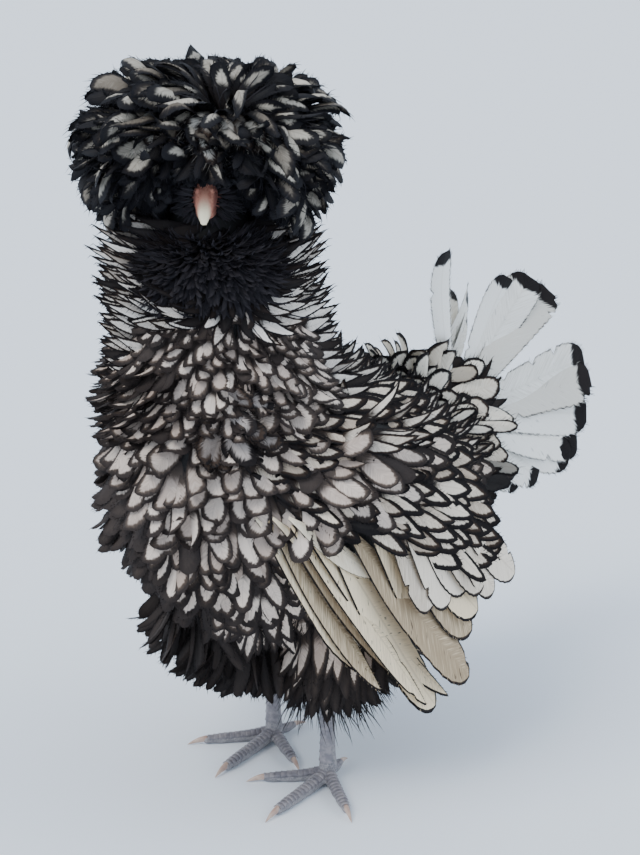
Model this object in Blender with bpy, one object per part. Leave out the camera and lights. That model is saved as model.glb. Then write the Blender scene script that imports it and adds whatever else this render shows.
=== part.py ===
"""Frizzle chicken: a laced, crested frizzle hen as a still, life-size model.

Metres, +Z up. The bird stands on the floor at z = 0 and its body faces -Y, so its left side is +X.
The head is turned towards its left by HEAD_TURN. Each part is one closed solid: a plain core with the
feathers that grow from it fused on as thin, tapered vanes that curl away from the body. Neighbouring
parts are trimmed against each other with a gap of GAP.
"""

import math
import random

import bmesh
import bpy
from mathutils import Matrix, Vector
from mathutils.bvhtree import BVHTree

GAP = 0.0003
SEED = 11
UP = Vector((0, 0, 1))

# Where the origin lies: under the middle of the whole bird's bounding box.
ORIGIN = Vector((0.0, 0.065, 0.0))

# Head frame: origin on the neck's axis, forward and side directions in plan.
HEAD_TURN = math.radians(40)
HEAD_FORWARD = Vector((math.sin(HEAD_TURN), -math.cos(HEAD_TURN), 0))
HEAD_SIDE = Vector((math.cos(HEAD_TURN), math.sin(HEAD_TURN), 0))
HEAD_AXIS = Vector((0, -0.078, 0))

# Levels that part the neck from the torso and from the crest.
NECK_BASE_Z = 0.268
NECK_TOP_Z = 0.3545
LEG_TOP_Z = 0.130
SHANK_TOP_Z = 0.060
FOOT_TOP_Z = 0.0135

# Torso core: distance along Y, half width, top and bottom, from the breast to the rump.
TORSO_FRONT = (-0.134, 0.214)
TORSO_REAR = (0.145, 0.188)
TORSO_STATIONS = (
    (-0.124, 0.032, 0.258, 0.170),
    (-0.100, 0.055, 0.285, 0.134),
    (-0.066, 0.070, 0.296, 0.108),
    (-0.022, 0.077, 0.284, 0.095),
    (0.020, 0.077, 0.258, 0.092),
    (0.060, 0.070, 0.240, 0.100),
    (0.098, 0.054, 0.230, 0.118),
    (0.124, 0.038, 0.224, 0.140),
)
TORSO_SIDES = 16
TORSO_RINGS = 9

# Neck core: height, centre along Y, half width and half depth.
NECK_STATIONS = (
    (0.2550, -0.062, 0.060, 0.058),
    (0.2750, -0.067, 0.055, 0.052),
    (0.3000, -0.073, 0.047, 0.044),
    (0.3250, -0.077, 0.041, 0.039),
    (0.3450, -0.078, 0.031, 0.030),
    (0.3700, -0.078, 0.020, 0.020),
)

# Skull, crest and beard, as ellipsoids in the head frame: forward, up, then half sizes side, forward, up.
SKULL = (0.000, 0.374, 0.0165, 0.026, 0.020)
CREST_CORE = (-0.011, 0.393, 0.046, 0.036, 0.031)
BEARD_CORE = (0.020, 0.333, 0.036, 0.026, 0.022)
BILL_BASE = 0.0200
BILL_TIP = 0.0425
EYE_RADIUS = 0.0045
EYE_PLACE = (0.0130, 0.0060, 0.3790)

# Side outline of the room that each wing takes, as points (y, z), and its reach across.
WING_OUTLINE = (
    (-0.118, 0.205),
    (-0.104, 0.248),
    (-0.030, 0.262),
    (0.040, 0.246),
    (0.072, 0.220),
    (0.081, 0.165),
    (0.082, 0.100),
    (0.060, 0.045),
    (-0.006, 0.045),
    (-0.104, 0.170),
)
WING_REACH = 0.16

# Side outline of the room that the tail takes.
TAIL_OUTLINE = (
    (0.085, 0.320),
    (0.128, 0.200),
    (0.1445, 0.155),
    (0.340, 0.050),
    (0.420, 0.050),
    (0.420, 0.420),
    (0.040, 0.420),
)
TAIL_REACH = 0.15

# Room that the thighs take under the belly.
LEG_REACH_X = 0.0760
LEG_FRONT_Y = -0.056
LEG_REAR_Y = 0.062

# Feet: where each shank meets its foot, and the heading of its middle toe.
LEGS = {
    "left": (1, Vector((0.034, -0.014, 0)), math.radians(6)),
    "right": (-1, Vector((-0.031, 0.008, 0)), math.radians(8)),
}
SHANK_RADIUS = 0.0048
TOE_RADIUS = 0.0042
TOE_LIFT = 0.0031

# Forms of vane: share of the length and of the width at each station; the last one is the tip.
CURL_FORM = ((0.0, 0.50), (0.40, 1.0), (0.78, 0.82), (1.0, 0.0))
QUILL_FORM = ((0.0, 0.45), (0.40, 0.95), (0.78, 1.0), (1.0, 0.0))
SHORT_FORM = ((0.0, 0.60), (0.68, 1.0), (1.0, 0.0))
VANE_THICK = 0.0015
VANE_CUP = 0.08
ROOT_SINK = 0.006


# ---------------------------------------------------------------- mesh helpers


def solid(name, points, faces):
    """A mesh object from a closed set of faces, in triangles that point outwards.

    Triangles stay flat through every cut, where a twisted four-sided face would be split anew.
    """
    mesh = bpy.data.meshes.new(name)
    mesh.from_pydata([tuple(p) for p in points], [], faces)
    made = bmesh.new()
    made.from_mesh(mesh)
    bmesh.ops.triangulate(made, faces=made.faces)
    if made.calc_volume(signed=True) < 0:
        bmesh.ops.reverse_faces(made, faces=made.faces)
    made.to_mesh(mesh)
    made.free()
    obj = bpy.data.objects.new(name, mesh)
    bpy.context.scene.collection.objects.link(obj)
    return obj


def loft(name, rings):
    """A closed solid through rings of equal count; a ring of one point is a pole."""
    points = [p for ring in rings for p in ring]
    starts = [0]
    for ring in rings:
        starts.append(starts[-1] + len(ring))
    faces = []
    for index in range(len(rings) - 1):
        here, there = rings[index], rings[index + 1]
        first, second = starts[index], starts[index + 1]
        for k in range(max(len(here), len(there))):
            after = (k + 1) % max(len(here), len(there))
            if len(here) == 1:
                faces.append((first, second + after, second + k))
            elif len(there) == 1:
                faces.append((first + k, first + after, second))
            else:
                faces.append((first + k, first + after, second + after, second + k))
    if len(rings[0]) > 1:
        faces.append(tuple(reversed(range(len(rings[0])))))
    if len(rings[-1]) > 1:
        faces.append(tuple(starts[-2] + k for k in range(len(rings[-1]))))
    return solid(name, points, faces)


def ellipse(centre, side, other, sides, squash=1.0):
    """A ring of points about centre, from the two half-axis vectors."""
    turns = (2 * math.pi * k / sides for k in range(sides))
    return [centre + side * math.sin(a) + other * (math.cos(a) * squash) for a in turns]


def ellipsoid(name, centre, side, forward, up, rings=7, sides=12):
    """A closed ellipsoid from its three half-axis vectors, with its poles along up."""
    made = [[centre - up]]
    for k in range(1, rings):
        a = math.pi * k / rings
        middle = centre - up * math.cos(a)
        made.append(ellipse(middle, side * math.sin(a), forward * math.sin(a), sides))
    made.append([centre + up])
    return loft(name, made)


def prism(name, outline, low_x, high_x, grow=0.0):
    """The (y, z) outline extruded along X; grow moves its sides out by that much."""
    count = len(outline)
    area = sum(
        outline[k][0] * outline[(k + 1) % count][1] - outline[(k + 1) % count][0] * outline[k][1]
        for k in range(count)
    )
    turn = 1 if area > 0 else -1
    moved = []
    for k in range(count):
        before, here, after = outline[k - 1], outline[k], outline[(k + 1) % count]
        normals = []
        for a, b in ((before, here), (here, after)):
            edge = Vector((b[0] - a[0], b[1] - a[1])).normalized()
            normals.append(Vector((edge.y, -edge.x)) * turn)
        bisector = normals[0] + normals[1]
        bisector /= 0.5 * bisector.length_squared
        moved.append(Vector(here) + bisector * grow)
    rings = [[Vector((x, p.x, p.y)) for p in moved] for x in (low_x - grow, high_x + grow)]
    return loft(name, rings)


def block(name, low, high):
    """An axis-aligned box between two corners."""
    outline = ((low[1], low[2]), (high[1], low[2]), (high[1], high[2]), (low[1], high[2]))
    return prism(name, outline, low[0], high[0])


def head_point(side, forward, z):
    """A point given in the head's own frame."""
    return HEAD_AXIS + HEAD_SIDE * side + HEAD_FORWARD * forward + UP * z


def head_block(name, low, high):
    """A box in the head's frame, from (side, forward, z) corners."""
    rings = []
    for z in (low[2], high[2]):
        corners = ((low[0], low[1]), (high[0], low[1]), (high[0], high[1]), (low[0], high[1]))
        rings.append([head_point(side, forward, z) for side, forward in corners])
    return loft(name, rings)


def head_ellipsoid(name, shape, grow=0.0, rings=8, sides=14):
    """An ellipsoid in the head's frame, with its surface moved out by grow."""
    forward, z, half_side, half_forward, half_up = shape
    return ellipsoid(
        name,
        head_point(0, forward, z),
        HEAD_SIDE * (half_side + grow),
        HEAD_FORWARD * (half_forward + grow),
        UP * (half_up + grow),
        rings,
        sides,
    )


# ---------------------------------------------------------------- joining and cutting


def bake(obj):
    """Replaces an object's mesh with the result of its modifiers."""
    graph = bpy.context.evaluated_depsgraph_get()
    old = obj.data
    mesh = bpy.data.meshes.new_from_object(obj.evaluated_get(graph))
    obj.modifiers.clear()
    obj.data = mesh
    bpy.data.meshes.remove(old)


def remove(objects):
    """Deletes helper objects with their meshes."""
    for obj in objects:
        mesh = obj.data
        bpy.data.objects.remove(obj)
        bpy.data.meshes.remove(mesh)


def fuse(base, pieces):
    """Joins closed pieces to base by one Boolean union, and removes them."""
    if not pieces:
        return base
    group = bpy.data.collections.new(base.name + "_pieces")
    bpy.context.scene.collection.children.link(group)
    for piece in pieces:
        group.objects.link(piece)
    join = base.modifiers.new("join", "BOOLEAN")
    join.operation = "UNION"
    join.operand_type = "COLLECTION"
    join.collection = group
    join.solver = "MANIFOLD"
    bake(base)
    remove(pieces)
    bpy.data.collections.remove(group)
    return base


def carve(base, cutters, operation="DIFFERENCE"):
    """Cuts base by each cutter in turn, and removes the cutters."""
    for cutter in cutters:
        cut = base.modifiers.new("cut", "BOOLEAN")
        cut.operation = operation
        cut.object = cutter
        cut.solver = "MANIFOLD"
        bake(base)
    remove(cutters)
    return base


def keep_largest(obj):
    """Leaves only the object's largest closed surface."""
    made = bmesh.new()
    made.from_mesh(obj.data)
    bmesh.ops.triangulate(made, faces=made.faces)
    unseen = set(made.verts)
    bodies = []
    while unseen:
        stack = [unseen.pop()]
        body = set(stack)
        while stack:
            for edge in stack.pop().link_edges:
                for vert in edge.verts:
                    if vert in unseen:
                        unseen.discard(vert)
                        body.add(vert)
                        stack.append(vert)
        bodies.append(body)

    def volume(body):
        faces = {f for v in body for f in v.link_faces}
        return sum(
            f.verts[0].co.dot(f.verts[1].co.cross(f.verts[2].co)) / 6 for f in faces
        )

    bodies.sort(key=volume, reverse=True)
    dropped = [v for body in bodies[1:] for v in body]
    bmesh.ops.delete(made, geom=dropped, context="VERTS")
    made.to_mesh(obj.data)
    made.free()
    return obj


# ---------------------------------------------------------------- feathers


def vane(path, facing, width, form, thick=VANE_THICK, cup=VANE_CUP):
    """One feather: a thin plate along path with a raised midrib, whose edges dip away from facing.

    Both faces are split into triangles alike. The last point of path is the feather's tip.
    """
    points = []
    for index, (_, share) in enumerate(form[:-1]):
        tangent = (path[index + 1] - path[max(index - 1, 0)]).normalized()
        face = (facing[index] - tangent * facing[index].dot(tangent)).normalized()
        across = tangent.cross(face)
        half = 0.5 * width * share
        dip = face * (cup * width * share)
        points.append(path[index] + across * half - dip)
        points.append(path[index] + face * (0.5 * thick))
        points.append(path[index] - across * half - dip)
        points.append(path[index] - face * (0.5 * thick))
    tip = len(points)
    points.append(path[-1])
    faces = [(2, 1, 0), (3, 2, 0)]
    for a in range(0, tip - 4, 4):
        b = a + 4
        faces += [(a, a + 1, b + 1), (a, b + 1, b), (a + 1, a + 2, b + 1), (a + 2, b + 2, b + 1)]
        faces += [(a + 2, a + 3, b + 3), (a + 2, b + 3, b + 2), (a + 3, a, b + 3), (a, b, b + 3)]
    a = tip - 4
    faces += [(a + k, a + (k + 1) % 4, tip) for k in range(4)]
    return solid("vane", points, faces)


def curled(root, lie, out, length, angles, form):
    """A feather's path and facings: it leaves the skin at angles[0] and curls through the others.

    Each angle is measured from lie, along the skin, towards out, away from it.
    """
    path = [root - (lie * math.cos(angles[0]) + out * math.sin(angles[0])) * ROOT_SINK]
    facing = []
    place = root.copy()
    for (share, _), (after, _) in zip(form, form[1:]):
        along = 0.5 * (share + after) * (len(angles) - 1)
        low = min(int(along), len(angles) - 2)
        angle = angles[low] + (angles[low + 1] - angles[low]) * (along - low)
        step = lie * math.cos(angle) + out * math.sin(angle)
        place = place + step * (length * (after - share))
        path.append(place.copy())
        facing.append(out * math.cos(angle) - lie * math.sin(angle))
    return path, facing


def feather(root, lie, out, length, width, angles, form=CURL_FORM, tilt=None, **more):
    """A curled feather on the skin at root; tilt leans its faces, as in a row of slats."""
    path, facing = curled(root, lie, out, length, angles, form)
    if tilt is not None:
        facing = [(face + tilt).normalized() for face in facing]
    return vane(path, facing, width, form, **more)


def degrees(*values):
    """Angles in radians."""
    return tuple(math.radians(v) for v in values)


# ---------------------------------------------------------------- torso


def smooth(table, place):
    """A row of numbers read from table at place, 0 to its last row, on a smooth curve."""
    low = min(max(int(place), 0), len(table) - 2)
    share = place - low
    rows = [table[min(max(low + k, 0), len(table) - 1)] for k in (-1, 0, 1, 2)]
    weights = (
        0.5 * (-(share**3) + 2 * share**2 - share),
        0.5 * (3 * share**3 - 5 * share**2 + 2),
        0.5 * (-3 * share**3 + 4 * share**2 + share),
        0.5 * (share**3 - share**2),
    )
    return [sum(w * row[k] for w, row in zip(weights, rows)) for k in range(len(rows[0]))]


def torso_point(along, around, grow=0.0):
    """A point on the torso's skin: along is 0 at the breast to 1 at the rump, around is 0 on top."""
    y, half, top, bottom = smooth(TORSO_STATIONS, along * (len(TORSO_STATIONS) - 1))
    middle = 0.5 * (top + bottom)
    tall = 0.5 * (top - bottom) + grow
    return Vector((math.sin(around) * (half + grow), y, middle + math.cos(around) * tall))


def torso_core(name, grow=0.0):
    """The torso without feathers, with its skin moved out by grow."""
    rings = [[Vector((0, TORSO_FRONT[0] - grow, TORSO_FRONT[1]))]]
    for k in range(TORSO_RINGS):
        along = k / (TORSO_RINGS - 1)
        turns = (2 * math.pi * s / TORSO_SIDES for s in range(TORSO_SIDES))
        rings.append([torso_point(along, a, grow) for a in turns])
    rings.append([Vector((0, TORSO_REAR[0] + grow, TORSO_REAR[1]))])
    return loft(name, rings)


def spread(core, centre, sizes, count):
    """Evenly spread places on a core: skin point and outward normal, along a golden spiral."""
    made = bmesh.new()
    made.from_mesh(core.data)
    tree = BVHTree.FromBMesh(made)
    made.free()
    turn = math.pi * (3 - math.sqrt(5))
    for k in range(count):
        height = 1 - 2 * (k + 0.5) / count
        flat = math.sqrt(1 - height * height)
        way = Vector((sizes[0] * flat * math.sin(turn * k), sizes[1] * height, sizes[2] * flat * math.cos(turn * k)))
        place, normal, _, _ = tree.ray_cast(centre + way * 3, -way)
        if place is not None:
            yield place, normal


def torso_lie(here, out):
    """The lie of the feathers: back along the top, and more steeply down on the breast and belly."""
    breast = min(1.0, max(0.0, (0.01 - here.y) / 0.12))
    low = min(1.0, max(0.0, (0.27 - here.z) / 0.14))
    fall = math.radians(8 + 40 * low + 40 * breast * (0.4 + 0.6 * low))
    flow = Vector((0, math.cos(fall), -math.sin(fall)))
    return (flow - out * flow.dot(out)).normalized()


def inside(outline, y, z):
    """Whether a point lies in a side outline."""
    found = False
    for k in range(len(outline)):
        (y0, z0), (y1, z1) = outline[k - 1], outline[k]
        if (z0 > z) != (z1 > z) and y < (y1 - y0) * (z - z0) / (z1 - z0) + y0:
            found = not found
    return found


def bare(point):
    """Whether another part covers the torso's skin at this point."""
    under_neck = (point - Vector((0, -0.060, point.z))).length < 0.060 and point.z > 0.255
    under_wing = abs(point.x) > 0.035 and inside(WING_OUTLINE, point.y, point.z)
    over_leg = point.z < LEG_TOP_Z and abs(point.x) < LEG_REACH_X and LEG_FRONT_Y < point.y < LEG_REAR_Y
    return under_neck or under_wing or over_leg or inside(TAIL_OUTLINE, point.y, point.z)


TORSO_PLACES = 158
TORSO_CENTRE = Vector((0, 0.004, 0.190))
TORSO_SIZES = (0.077, 0.136, 0.094)
TORSO_FEATHER = (0.046, 0.0295)
TORSO_CURL = degrees(22, 34, 88)


def build_torso(draw):
    """The trunk with its frizzled breast, back and rump feathers."""
    torso = torso_core("torso")
    pieces = []
    for here, out in spread(torso, TORSO_CENTRE, TORSO_SIZES, TORSO_PLACES):
        length = TORSO_FEATHER[0] * draw.uniform(0.9, 1.1)
        width = TORSO_FEATHER[1] * draw.uniform(0.9, 1.05)
        curl = [a * draw.uniform(0.92, 1.08) for a in TORSO_CURL]
        if not bare(here):
            pieces.append(feather(here, torso_lie(here, out), out, length, width, curl))
    fuse(torso, pieces)
    pockets = [
        neck_room("neck_room"),
        prism("tail_room", TAIL_OUTLINE, -TAIL_REACH, TAIL_REACH),
    ]
    rooms = [leg_room("leg_room", -LEG_REACH_X, LEG_REACH_X), wing_room(1, 0.0), wing_room(-1, 0.0)]
    pockets.extend(carve(room, [torso_core("inner", GAP)]) for room in rooms)
    carve(torso, pockets)
    return keep_largest(torso)


# The room of the neck above the torso: height and radius of a bowl.
NECK_BOWL = ((NECK_BASE_Z, 0.058), (0.279, 0.080), (0.291, 0.108), (NECK_TOP_Z + 0.02, 0.108))


def neck_room(name, lift=0.0):
    """The bowl-shaped room above the torso that the neck takes."""
    centre = Vector((0, -0.065, lift))
    rings = []
    for z, radius in NECK_BOWL:
        size = radius - lift
        rings.append(ellipse(centre + UP * z, Vector((size, 0, 0)), Vector((0, size, 0)), 24))
    return loft(name, rings)


def leg_room(name, low_x, high_x, grow=0.0):
    """The room under the belly that the thighs take."""
    low = (low_x - grow, LEG_FRONT_Y - grow, -0.02)
    return block(name, low, (high_x + grow, LEG_REAR_Y + grow, LEG_TOP_Z + grow))


def wing_room(side, grow):
    """The room beside the torso that one wing takes."""
    low, high = (0.030, WING_REACH) if side > 0 else (-WING_REACH, -0.030)
    return prism("wing_room", WING_OUTLINE, low, high, grow)


# ---------------------------------------------------------------- neck


def neck_ring(z, grow=0.0, sides=16):
    """A level ring of the neck's skin."""
    place = 0.0
    last = len(NECK_STATIONS) - 1
    for k in range(last):
        low, high = NECK_STATIONS[k][0], NECK_STATIONS[k + 1][0]
        if low <= z <= high:
            place = k + (z - low) / (high - low)
    _, y, half, deep = smooth(NECK_STATIONS, place)
    side, other = Vector((half + grow, 0, 0)), Vector((0, deep + grow, 0))
    return ellipse(Vector((0, y, z)), side, other, sides)


def neck_core(name, grow=0.0):
    """The neck without feathers, between the levels that part it."""
    levels = (NECK_BASE_Z - 0.01, 0.285, 0.305, 0.325, 0.342, NECK_TOP_Z - GAP)
    return loft(name, [neck_ring(z, grow) for z in levels])


NECK_TIERS = (
    (0.290, 10, 0.040),
    (0.304, 10, 0.038),
    (0.319, 9, 0.036),
    (0.333, 8, 0.033),
    (0.346, 6, 0.028),
)
NECK_WIDTH = 0.0190
NECK_CURL = degrees(50, 56, 96)
BEARD_ROOM = ((-0.060, 0.008, 0.296), (0.060, 0.120, NECK_TOP_Z))


def build_neck(draw):
    """The neck with its hackles, which stand out level and turn up at their tips."""
    neck = neck_core("neck")
    pieces = []
    for tier, (z, count, length) in enumerate(NECK_TIERS):
        ring = neck_ring(z, 0.0, 48)
        for k in range(count):
            turn = (k + 0.5 * (tier % 2) + draw.uniform(-0.12, 0.12)) / count
            here = ring[round(turn * 48) % 48]
            out = (here - Vector((0, -0.074, here.z))).normalized()
            lie = (-UP + Vector((0, 0.25, 0))).normalized()
            lie = (lie - out * lie.dot(out)).normalized()
            size = length * draw.uniform(0.9, 1.1)
            curl = [a * draw.uniform(0.94, 1.06) for a in NECK_CURL]
            pieces.append(feather(here, lie, out, size, NECK_WIDTH, curl, SHORT_FORM))
    fuse(neck, pieces)
    beard_room = carve(head_block("beard_room", *BEARD_ROOM), [neck_core("inner", GAP)])
    over = block("over", (-0.3, -0.4, NECK_TOP_Z - GAP), (0.3, 0.4, 0.6))
    behind = prism("behind", TAIL_OUTLINE, -TAIL_REACH, TAIL_REACH, GAP)
    carve(neck, [neck_room("room", 1.2 * GAP)], "INTERSECT")
    carve(neck, [beard_room, over, behind])
    return keep_largest(neck)


# ---------------------------------------------------------------- head, crest and beard


def build_head():
    """The skull with its eye sockets and raised lids, flat where the bill and neck meet it."""
    head = head_ellipsoid("head", SKULL)
    lids = []
    for side in (1, -1):
        across, forward, z = EYE_PLACE
        centre = head_point(side * across, forward, z)
        rim = 0.0062
        out = HEAD_SIDE * (side * 0.0030)
        rings = [
            ellipse(centre - out, HEAD_FORWARD * rim, UP * rim, 10),
            ellipse(centre + out, HEAD_FORWARD * rim, UP * (rim * 0.86), 10),
        ]
        lids.append(loft("lid", rings))
    fuse(head, lids)
    cutters = [
        head_block("bill_side", (-0.05, BILL_BASE, 0.33), (0.05, 0.08, 0.42)),
        block("neck_side", (-0.2, -0.3, 0.2), (0.2, 0.3, NECK_TOP_Z + GAP)),
    ]
    cutters.extend(eye_ball("socket", side, GAP) for side in (1, -1))
    carve(head, cutters)
    return keep_largest(head)


def eye_ball(name, side, grow=0.0):
    """One eye, set into its socket."""
    across, forward, z = EYE_PLACE
    size = EYE_RADIUS + grow
    centre = head_point(side * across, forward, z)
    return ellipsoid(name, centre, UP * size, HEAD_FORWARD * size, HEAD_SIDE * size, 6, 8)


def bill_half(name, profile):
    """Half of the bill: rows of forward place, half width, top and bottom, then the tip."""
    rings = []
    for forward, half, top, bottom in profile:
        middle = 0.5 * (top + bottom)
        ring = []
        for side, height in ((-1, -1), (-1, 0.1), (-0.55, 0.8), (0, 1), (0.55, 0.8), (1, 0.1), (1, -1)):
            ring.append(head_point(side * half, forward, middle + height * 0.5 * (top - bottom)))
        rings.append(ring)
    return loft(name, rings)


UPPER_BILL = (
    (BILL_BASE + GAP, 0.0084, 0.3836, 0.3712),
    (0.0245, 0.0078, 0.3842, 0.3706),
    (0.0290, 0.0066, 0.3806, 0.3698),
    (0.0340, 0.0052, 0.3768, 0.3684),
    (0.0390, 0.0034, 0.3712, 0.3652),
    (BILL_TIP, 0.0016, 0.3650, 0.3616),
)
LOWER_BILL = (
    (BILL_BASE + GAP, 0.0074, 0.3704, 0.3640),
    (0.0250, 0.0066, 0.3698, 0.3636),
    (0.0300, 0.0054, 0.3690, 0.3638),
    (0.0350, 0.0036, 0.3676, 0.3642),
    (0.0380, 0.0018, 0.3656, 0.3646),
)
NOSTRIL = (0.0048, 0.0262, 0.3786)


def build_bill():
    """The upper bill with its raised, open nostrils, and the lower bill; the gape is the gap."""
    upper = bill_half("upper_bill", UPPER_BILL)
    bumps = []
    pits = []
    for side in (1, -1):
        across, forward, z = NOSTRIL
        centre = head_point(side * across, forward, z)
        bump = (HEAD_SIDE * 0.0030, HEAD_FORWARD * 0.0046, UP * 0.0034)
        bumps.append(ellipsoid("bump", centre, *bump, 5, 8))
        hole = centre + HEAD_SIDE * (side * 0.0026) + HEAD_FORWARD * 0.0006
        pit = (HEAD_SIDE * 0.0013, HEAD_FORWARD * 0.0026, UP * 0.0010)
        pits.append(ellipsoid("pit", hole, *pit, 5, 6))
    fuse(upper, bumps)
    face = head_block("face", (-0.05, -0.05, 0.33), (0.05, BILL_BASE + GAP, 0.42))
    carve(upper, [*pits, face])
    return [keep_largest(upper), bill_half("lower_bill", LOWER_BILL)]


def globe_point(shape, turn, polar):
    """A point on an ellipsoid in the head's frame; turn is 0 in front, polar is 0 at the crown."""
    forward, z, half_side, half_forward, half_up = shape
    flat = math.sin(polar)
    return head_point(
        half_side * flat * math.sin(turn),
        forward + half_forward * flat * math.cos(turn),
        z + half_up * math.cos(polar),
    )


# Where the crest's tips lie, tier by tier from the crown: distance from its axis, height, count.
CREST_TIERS = (
    (0.017, 0.454, 4),
    (0.036, 0.453, 8),
    (0.057, 0.441, 11),
    (0.070, 0.422, 12),
    (0.0780, 0.400, 12),
    (0.0790, 0.379, 12),
    (0.072, 0.361, 12),
    (0.050, 0.3560, 9),
)
CREST_FORWARD = -0.003
CREST_DEPTH = 0.88
CREST_WIDTH = 0.0240
FACE_HALF = 0.0125
FACE_TOP_Z = 0.3850
FACE_ROOM = ((-FACE_HALF, BILL_BASE - 0.001, 0.34), (FACE_HALF, 0.12, FACE_TOP_Z))


def crest_feather(turn, radius, z, draw):
    """One crest feather: it rises from the core, arches over and flicks out at its tip."""
    middle = CREST_CORE[1]
    polar = math.atan2(radius, z - middle)
    centre = head_point(0, CREST_CORE[0], middle)
    tip = head_point(radius * math.sin(turn), CREST_FORWARD + CREST_DEPTH * radius * math.cos(turn), z)
    tip = centre + (tip - centre) * draw.uniform(0.95, 1.04)
    root = globe_point(CREST_CORE, turn + draw.uniform(-0.1, 0.1), polar * 0.66)
    crown = centre + (globe_point(CREST_CORE, turn, polar * 0.80) - centre) * 1.65
    start = root + (centre - root) * 0.18
    path = []
    for share, _ in SHORT_FORM:
        keep = 1 - share
        path.append(start * keep**2 + crown * (2 * share * keep) + tip * share**2)
    across = (HEAD_FORWARD * math.cos(turn) + HEAD_SIDE * math.sin(turn)).cross(UP)
    lean = across * draw.uniform(-0.2, 0.2)
    facing = [across.cross((after - here).normalized()) + lean for here, after in zip(path, path[1:])]
    return vane(path, facing, CREST_WIDTH * draw.uniform(0.9, 1.1), SHORT_FORM)


def build_crest(draw):
    """The globe of crest feathers, tier under tier from the crown to the cheeks."""
    crest = head_ellipsoid("crest", CREST_CORE)
    pieces = []
    for tier, (radius, z, count) in enumerate(CREST_TIERS):
        for k in range(count):
            turn = 2 * math.pi * (k + 0.5 * (tier % 2) + draw.uniform(-0.12, 0.12)) / count
            over_face = math.cos(turn) > 0 and abs(radius * math.sin(turn)) < 0.017
            if over_face and z < FACE_TOP_Z + 0.006:
                continue
            pieces.append(crest_feather(turn, radius, z, draw))
    fuse(crest, pieces)
    cutters = [
        block("under", (-0.3, -0.4, 0.0), (0.3, 0.4, NECK_TOP_Z + GAP)),
        head_ellipsoid("skull_room", SKULL, 1.5 * GAP),
        head_block("face_room", *FACE_ROOM),
    ]
    for side in (1, -1):
        across, forward, z = EYE_PLACE
        eye = head_point(side * (across + 0.002), forward, z)
        room = 0.0088
        cutters.append(ellipsoid("eye_room", eye, UP * room, HEAD_FORWARD * room, HEAD_SIDE * room, 7, 12))
    carve(crest, cutters)
    return keep_largest(crest)


BEARD_TIERS = ((0.346, 7, 0.023), (0.334, 7, 0.024), (0.321, 6, 0.022))
BEARD_WIDTH = 0.0195
BEARD_CURL = degrees(20, 35, 85)


def build_beard(draw):
    """The beard and muffs under the bill, in short curled feathers."""
    beard = head_ellipsoid("beard", BEARD_CORE)
    pieces = []
    forward, middle, half_side, half_forward, half_up = BEARD_CORE
    for tier, (z, count, length) in enumerate(BEARD_TIERS):
        flat = math.sqrt(max(0.05, 1 - ((z - middle) / half_up) ** 2))
        for k in range(count):
            turn = math.radians(-100 + 200 * (k + 0.5 + draw.uniform(-0.1, 0.1)) / count)
            here = head_point(
                half_side * flat * math.sin(turn), forward + half_forward * flat * math.cos(turn), z
            )
            out = (here - head_point(0, forward - 0.01, middle)).normalized()
            lie = (-UP - HEAD_FORWARD * 0.2 + HEAD_SIDE * (0.5 * math.sin(turn))).normalized()
            lie = (lie - out * lie.dot(out)).normalized()
            size = length * draw.uniform(0.9, 1.1)
            pieces.append(feather(here, lie, out, size, BEARD_WIDTH, BEARD_CURL, SHORT_FORM))
    fuse(beard, pieces)
    low, high = BEARD_ROOM
    room = head_block(
        "room",
        (low[0] + GAP, low[1] + GAP, low[2] + GAP),
        (high[0] - GAP, high[1] - GAP, high[2] - GAP),
    )
    carve(beard, [room], "INTERSECT")
    carve(beard, [neck_core("inner", 2 * GAP)])
    return keep_largest(beard)


# ---------------------------------------------------------------- wings


def flank_x(y, z):
    """Half width of the torso's skin at a place on its side."""
    low, high = 0.0, 1.0
    for _ in range(24):
        along = 0.5 * (low + high)
        if smooth(TORSO_STATIONS, along * (len(TORSO_STATIONS) - 1))[0] < y:
            low = along
        else:
            high = along
    _, half, top, bottom = smooth(TORSO_STATIONS, low * (len(TORSO_STATIONS) - 1))
    level = (z - 0.5 * (top + bottom)) / (0.5 * (top - bottom))
    return half * math.sqrt(max(0.0, 1 - level * level))


# Wing arm: place along Y, height, half height and thickness.
ARM_STATIONS = (
    (-0.102, 0.208, 0.016, 0.010),
    (-0.080, 0.214, 0.027, 0.013),
    (-0.040, 0.218, 0.032, 0.014),
    (0.000, 0.212, 0.030, 0.012),
    (0.030, 0.204, 0.022, 0.009),
    (0.050, 0.198, 0.012, 0.007),
)
# Rows of wing feathers, from the front: first and last root (y, z), first and last fall in degrees,
# first and last length, width, count and how far the row lies from the flank.
PRIMARIES = ((-0.098, 0.196), (-0.064, 0.188), 52, 53, 0.162, 0.152, 0.019, 5, 0.003)
SECONDARIES = ((-0.054, 0.188), (0.022, 0.190), 50, 40, 0.148, 0.070, 0.027, 6, 0.008)
GREAT_COVERTS = ((-0.086, 0.200), (0.030, 0.200), 52, 36, 0.066, 0.056, 0.029, 5, 0.013)
LESSER_COVERTS = ((-0.090, 0.220), (0.030, 0.216), 46, 22, 0.052, 0.050, 0.029, 5, 0.013)
SCAPULARS = ((-0.084, 0.240), (0.034, 0.230), 38, 10, 0.050, 0.046, 0.029, 5, 0.008)
QUILL_CURL = degrees(0, 2, 12)
COVERT_CURL = degrees(8, 18, 66)
SLAT = 0.20


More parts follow.
